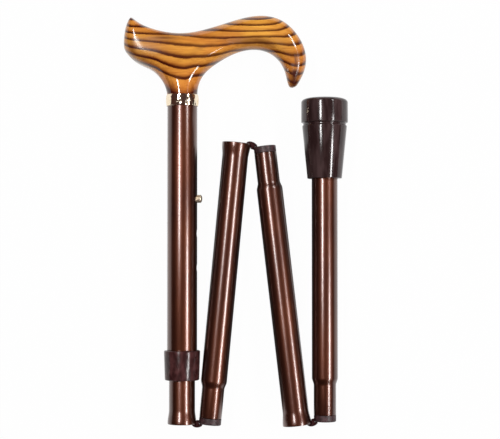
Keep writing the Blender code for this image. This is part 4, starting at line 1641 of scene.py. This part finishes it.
@dataclass
class ElasticBend:
    """The flat elastic that leaves a socket over its rim and enters the next section's cap.

    Attributes:
        number: Which fold it goes round.
        body: The body of the socket that it rides on.
        socket, neck: The two openings, with their directions pointing inwards.
        depth, straight: How deep in the socket it starts, and how far it goes on straight.
        lean: How far off the socket's axis it is halfway out.
        leave, enter: How far off the axes it passes the socket's rim and the cap's.
        drop: How far it hangs out of the line between the two.
        funnel: Its way into the cap, as (off the axis, deep) in millimetres.
        fill: How deep the loop is filled with bunched-up braid, between the mouths.
        fill_gap: The room that the fill leaves at either mouth.
        fill_low: How far the fill stays out of the line between the rims, beside the gap.
        fill_lean: How much it leans out towards the mouths.
        fill_square: How sharply it ends at them.
        keep: How much of its width across the axis is left in a straight cane. Not used.
    """

    number: int
    body: Body
    socket: Place
    neck: Place
    thickness: float = 1.6 * MM
    width: float = 4.4 * MM
    spacing: float = 0.25 * MM
    sides: int = 20
    depth: float = 33.2 * MM
    straight: float = 5.7 * MM
    lean: float = 4.4 * MM
    leave: float = 8.0 * MM
    enter: float = 5.9 * MM
    drop: float = 2.0 * MM
    bend_steps: int = 6
    funnel: tuple[Pair, ...] = ((4.9, 0.6), (2.9, 2.0), (1.0, 4.0), (0.0, 5.7))
    fill: float = 2.7 * MM
    fill_gap: float = 0.05 * MM
    fill_low: float = 0.1 * MM
    fill_lean: float = 0.15
    fill_square: int = 20
    keep: float = 0.05

    def __post_init__(self) -> None:
        """Finds the middle of the bend, the gap between the mouths and the way back in."""
        start, end = self.socket.point(self.leave, 0.0), self.neck.point(-self.enter, 0.0)
        self.middle, self.half = (start + end) / 2, (end - start) / 2
        self.inward = (self.socket.along + self.neck.along).normalized()
        left = self.socket.point(TUBE.flare_radius, 0.0)
        right = self.neck.point(-self.neck.radius, 0.0)
        self.gap_middle = (left + right) / 2
        self.gap_reach = (right - left).length / 2 - self.fill_gap
        self.turn = math.copysign(1.0, self.half.cross(UP).dot(self.inward))
        upright = self.inward - self.half * self.inward.dot(self.half) / self.half.length_squared
        self.rise = upright / upright.length_squared
        log.info("the gap of elastic %d is %.1f mm", self.number, (right - left).length / MM)

    def route(self) -> list[Vector]:
        """The elastic's middle line, from inside the socket into the cap.

        Returns:
            Its points, close together.
        """
        guides = [self.socket.point(0.0, self.depth)]
        guides += [self.socket.point(0.0, self.depth - self.straight)]
        guides += [self.socket.point(self.lean, self.depth / 2)]
        for step in range(self.bend_steps + 1):
            angle = math.pi * step / self.bend_steps
            below = self.inward * self.drop * math.sin(angle)
            guides.append(self.middle - self.half * math.cos(angle) - below)
        guides += [self.neck.point(-across * MM, depth * MM) for across, depth in self.funnel]
        return smooth_route(guides, self.spacing)

    def ring(self, place: Vector, side: Vector) -> Ring:
        """The elastic's ring at one place, drawn out inwards where the loop is filled.

        Args:
            place: Where its middle line is.
            side: The level direction across that line.

        Returns:
            The ring.
        """
        across = self.half.normalized()
        away = (place - self.gap_middle).dot(across) / self.gap_reach
        depth = (self.middle - place).dot(self.rise)
        inside = math.exp(-(away**self.fill_square))
        level = (self.fill + self.fill_low) * inside - self.fill_low
        facing = abs(side.dot(self.inward)) * self.thickness / 2
        extra = max(0.0, depth - facing + level) / 2 if depth > 0 else 0.0
        push = (self.inward + across * away * self.fill_lean) * extra
        half = side * self.thickness / 2 + push * self.turn
        return Ring(place + push, half, self.width / 2)

    def build(self) -> None:
        """Makes the bend."""
        route = self.route()
        rings = [self.ring(place, side) for place, side in zip(route, sideways(route))]
        piece = swept(rings, self.sides)
        present(piece, f"elastic_bend_{self.number}", "braided", self.body, BRAID)
        across = self.socket.point(1.0, 0.0) - self.socket.origin
        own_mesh(piece)


# Foot


@dataclass
class RubberFoot:
    """The ferrule: a tapering rubber cup with a wide foot and a tread.

    Attributes:
        thickness: The rubber under the tube.
        rim_length: How long the wide foot is.
        groove_width, groove_depth, groove_slope: The groove above it.
        shoulder_radius: The tapering part's radius at the groove.
        lip_radius: Its radius at the top.
        bevel_height, bevel_depth: The rounding round the face.
        tread_radii: Where the face's grooves start, from its middle.
    """

    thickness: float = 7.7 * MM
    rim_length: float = 17.9 * MM
    groove_width: float = 2.5 * MM
    groove_depth: float = 1.5 * MM
    groove_slope: float = 0.6 * MM
    shoulder_radius: float = 16.5 * MM
    lip_radius: float = 12.65 * MM
    bevel_height: float = 3.2 * MM
    bevel_depth: float = 5.4 * MM
    bevel_steps: int = 10
    tread_radii: Pair = (6.0 * MM, 9.4 * MM)
    tread_width: float = 1.3 * MM
    tread_depth: float = 1.2 * MM
    edge: float = 0.45 * MM
    edge_segments: int = 4
    sides: int = 128

    def __post_init__(self) -> None:
        """Reads the foot's axis from the frame."""
        self.place = Place.of("ferrule", TO_HANDLE)

    def build(self) -> None:
        """Makes the foot."""
        face, radius = self.place.length, self.place.radius
        rim_low = face - self.rim_length
        shoulder = rim_low - self.groove_width
        waist, slope = radius - self.groove_depth, self.groove_slope
        inside, floor = TUBE.radius + CLEARANCE, face - self.thickness
        profile = [(0.0, floor), (inside, floor), (inside, 0.0), (self.lip_radius, 0.0)]
        profile += [(self.shoulder_radius, shoulder), (waist, shoulder + slope)]
        profile += [(waist, rim_low - slope), (radius, rim_low)]
        bevel = (radius - self.bevel_depth, face - self.bevel_height)
        profile += arc(bevel, (self.bevel_depth, self.bevel_height), 0, 90, self.bevel_steps)
        groove = face - self.tread_depth
        for tread in reversed(self.tread_radii):
            wide = tread + self.tread_width
            profile += [(wide, face), (wide, groove), (tread, groove), (tread, face)]
        profile += [(0.0, face)]
        piece = turned(profile, self.sides)
        break_edges(piece, self.edge, self.edge_segments)
        lay(piece, self.place)
        present(piece, "ferrule", "rubber", Body.SECTION_4, RUBBER)


# Inner pieces


@dataclass(frozen=True)
class InnerPieces:
    """The pieces inside, whose CAD shape stays and only gets its finish."""

    finishes: tuple[tuple[Finish, tuple[str, ...]], ...] = (
        (NYLON, ("handle_plug", "collar_bush", "elastic_anchor_top", "elastic_anchor_foot")),
        (STEEL, ("handle_screw", "elastic_crimp_top", "elastic_crimp_foot", "ferrule_washer")),
        (BRAID, tuple(f"elastic_run_{number}" for number in (1, 2, 3, 4))),
    )

    def build(self) -> None:
        """Puts the finishes on the nodes' material slots."""
        for finish, nodes in self.finishes:
            for node in nodes:
                for slot in frame["nodes"][node].material_slots:
                    slot.material = finish.material()
                log.info("%s: dressed as %s", node, finish.name)


# Studio


@dataclass(frozen=True)
class StripLight:
    """A long narrow light overhead, parallel to the tubes.

    Attributes:
        name: The light's name.
        lean: How far from straight up it stands, towards +X, in degrees.
        width: How wide it looks from the cane, in degrees.
        spans: Its lengths as (start, end, radiance) along Y.
    """

    name: str
    lean: float
    width: float
    spans: tuple[tuple[float, float, float], ...]

    def build(self, middle: Vector, distance: float) -> None:
        """Hangs the lamps.

        Args:
            middle: What they shine at.
            distance: How far away they hang.
        """
        lean = math.radians(self.lean)
        width = 2 * distance * math.tan(math.radians(self.width) / 2)
        out = Vector((math.sin(lean), 0.0, math.cos(lean))) * distance
        for number, (start, end, radiance) in enumerate(self.spans):
            lamp = bpy.data.lights.new(f"{self.name}_{number + 1}", "AREA")
            lamp.shape = "RECTANGLE"
            lamp.size = width
            lamp.size_y = end - start
            lamp.energy = 4 * radiance * width * (end - start)
            light = bpy.data.objects.new(lamp.name, lamp)
            bpy.context.scene.collection.objects.link(light)
            light.location = middle + out + Vector((0.0, (start + end) / 2, 0.0))
            light.rotation_euler = (0.0, lean, 0.0)
            light.visible_camera = False


@dataclass(frozen=True)
class Studio:
    """The floor, the light and the camera.

    Attributes:
        picture_width: How much of the tubes' level the picture shows across.
        aim: The middle of the picture, above the floor's origin.
        camera_height, camera_back: Where the camera stands, from what it looks at.
        lamp_distance: How far away the strips hang.
        floor_grey: The floor's own shade, which carries the light back to the cane.
        floor_glow: How much of the floor is plain white where it is seen.
        dim: The colour of the studio round the cane.
        painted_shadow_x, painted_shadow_y: The floor between the tubes, which is painted dark where
            the tubes' sides reflect it: a painted shadow that only reflections see.
        painted_shadow_edge, painted_shadow_depth: How softly that painted shadow ends, and how dark
        it is.
    """

    picture_width: float = 367.5 * MM
    sensor: float = 36.0
    aim: Vector = Vector((10.33 * MM, 1.1 * MM, 0.0))
    camera_height: float = 1.05
    camera_back: float = 30.0 * MM
    floor_size: float = 6.0
    lamp_distance: float = 2.0
    strips: tuple[StripLight, ...] = (
        StripLight(
            "left_strip", -21.3, 6.0,
            (
                (-0.14, -0.08, 3.0), (-0.08, -0.02, 11.0), (-0.02, 0.04, 22.0),
                (0.04, 0.8, 31.0), (0.8, 1.5, 21.0),
            ),
        ),
        StripLight(
            "right_strip", 41.4, 6.0,
            (
                (-1.62, -0.7, 15.0), (-0.7, -0.06, 30.0), (-0.06, 0.04, 19.0),
                (0.04, 0.12, 8.0), (0.12, 0.68, 1.6), (0.68, 1.5, 21.0),
            ),
        ),
    )
    floor_grey: Colour = (0.55, 0.55, 0.55)
    floor_glow: float = 0.98
    dim: Colour = (0.06, 0.03, 0.027)
    painted_shadow_x: Pair = (-42.0 * MM, 64.0 * MM)
    painted_shadow_y: Pair = (-148.0 * MM, 58.0 * MM)
    painted_shadow_edge: float = 8.0 * MM
    painted_shadow_depth: float = 0.94

    def build_camera(self, level: float) -> None:
        """Places the camera, straight over the cane and a little towards its folded ends.

        Args:
            level: How high the tubes' axes lie.
        """
        data = bpy.data.cameras.new("camera")
        data.sensor_width = self.sensor
        data.lens = self.sensor * self.camera_height / self.picture_width
        camera = bpy.data.objects.new("camera", data)
        bpy.context.scene.collection.objects.link(camera)
        way = Vector((0.0, -self.camera_back, self.camera_height))
        camera.location = self.aim + UP * level + way
        camera.rotation_euler = (math.atan2(self.camera_back, self.camera_height), 0.0, 0.0)
        bpy.context.scene.camera = camera

    def build_floor(self) -> None:
        """Lays a floor that gives light back to the cane and looks white to the camera, with a
        painted shadow between the tubes where their sides reflect it.
        """
        bpy.ops.object.select_all(action="DESELECT")
        bpy.ops.mesh.primitive_plane_add(size=self.floor_size)
        floor = bpy.context.object
        floor.name = "floor"
        material = bpy.data.materials.new("white_floor")
        material.use_nodes = True
        graph = Graph(material.node_tree)
        grey = graph.add("BsdfDiffuse", {"Color": (*self.floor_grey, 1.0)})
        path = graph.add("LightPath").outputs
        place = graph.add("SeparateXYZ", {0: graph.places()}).outputs
        # Painted shadow: reflections see the floor between the tubes darkened, while the camera sees
        # it white.
        painted_shadow = graph.maths("SUBTRACT", self.painted_shadow_depth, path["Is Camera Ray"])
        for axis, (low, high) in enumerate((self.painted_shadow_x, self.painted_shadow_y)):
            rise = graph.spread(place[axis], low, low + self.painted_shadow_edge)
            drop = graph.spread(place[axis], high - self.painted_shadow_edge, high, 1.0, 0.0)
            painted_shadow = graph.maths("MULTIPLY", painted_shadow, graph.maths("MULTIPLY", rise, drop))
        shade = graph.maths("SUBTRACT", 1.0, graph.maths("MAXIMUM", painted_shadow, 0.0))
        white = graph.add("Emission", {"Color": shade, "Strength": 1.0})
        seen = graph.maths("MAXIMUM", path["Is Glossy Ray"], path["Is Transmission Ray"])
        seen = graph.maths("MAXIMUM", path["Is Camera Ray"], seen)
        share = graph.maths("MULTIPLY", seen, self.floor_glow)
        mixed = graph.add("MixShader", {0: share, 1: grey.outputs[0], 2: white.outputs[0]})
        graph.add("OutputMaterial", {"Surface": mixed.outputs[0]})
        floor.data.materials.append(material)

    def build_world(self) -> None:
        """Puts a dim, warm studio round the cane, which is white to the camera."""
        world = bpy.data.worlds.new("studio")
        bpy.context.scene.world = world
        world.use_nodes = True
        graph = Graph(world.node_tree)
        seen = graph.add("LightPath").outputs["Is Camera Ray"]
        dim = graph.add("Background", {"Color": (*self.dim, 1.0)})
        white = graph.add("Background", {"Color": (1.0, 1.0, 1.0, 1.0)})
        mixed = graph.add("MixShader", {0: seen, 1: dim.outputs[0], 2: white.outputs[0]})
        graph.add("OutputWorld", {"Surface": mixed.outputs[0]})

    def build(self) -> None:
        """Makes the studio round the cane."""
        level = Place.of("outer_tube", TO_HANDLE).origin.z
        self.build_floor()
        self.build_world()
        for strip in self.strips:
            strip.build(Vector((self.aim.x, 0.0, level)), self.lamp_distance)
        self.build_camera(level)
        bpy.context.scene.view_settings.view_transform = "Standard"


def main() -> None:
    """Builds the cane's looks and the studio."""
    logging.basicConfig(level=logging.INFO, format="%(message)s")
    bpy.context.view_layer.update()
    DerbyHandle().build()
    adjuster = HeightAdjuster()
    adjuster.build()
    socket, before = adjuster.inner, Body.ADJUSTABLE
    for number, body in enumerate((Body.SECTION_2, Body.SECTION_3, Body.SECTION_4), 2):
        section = FoldingSection(number, body, before, socket, body is not Body.SECTION_4)
        section.build()
        socket, before = section.tube.far_end(), body
    RubberFoot().build()
    InnerPieces().build()
    Studio().build()


if __name__ == "__main__":
    main()
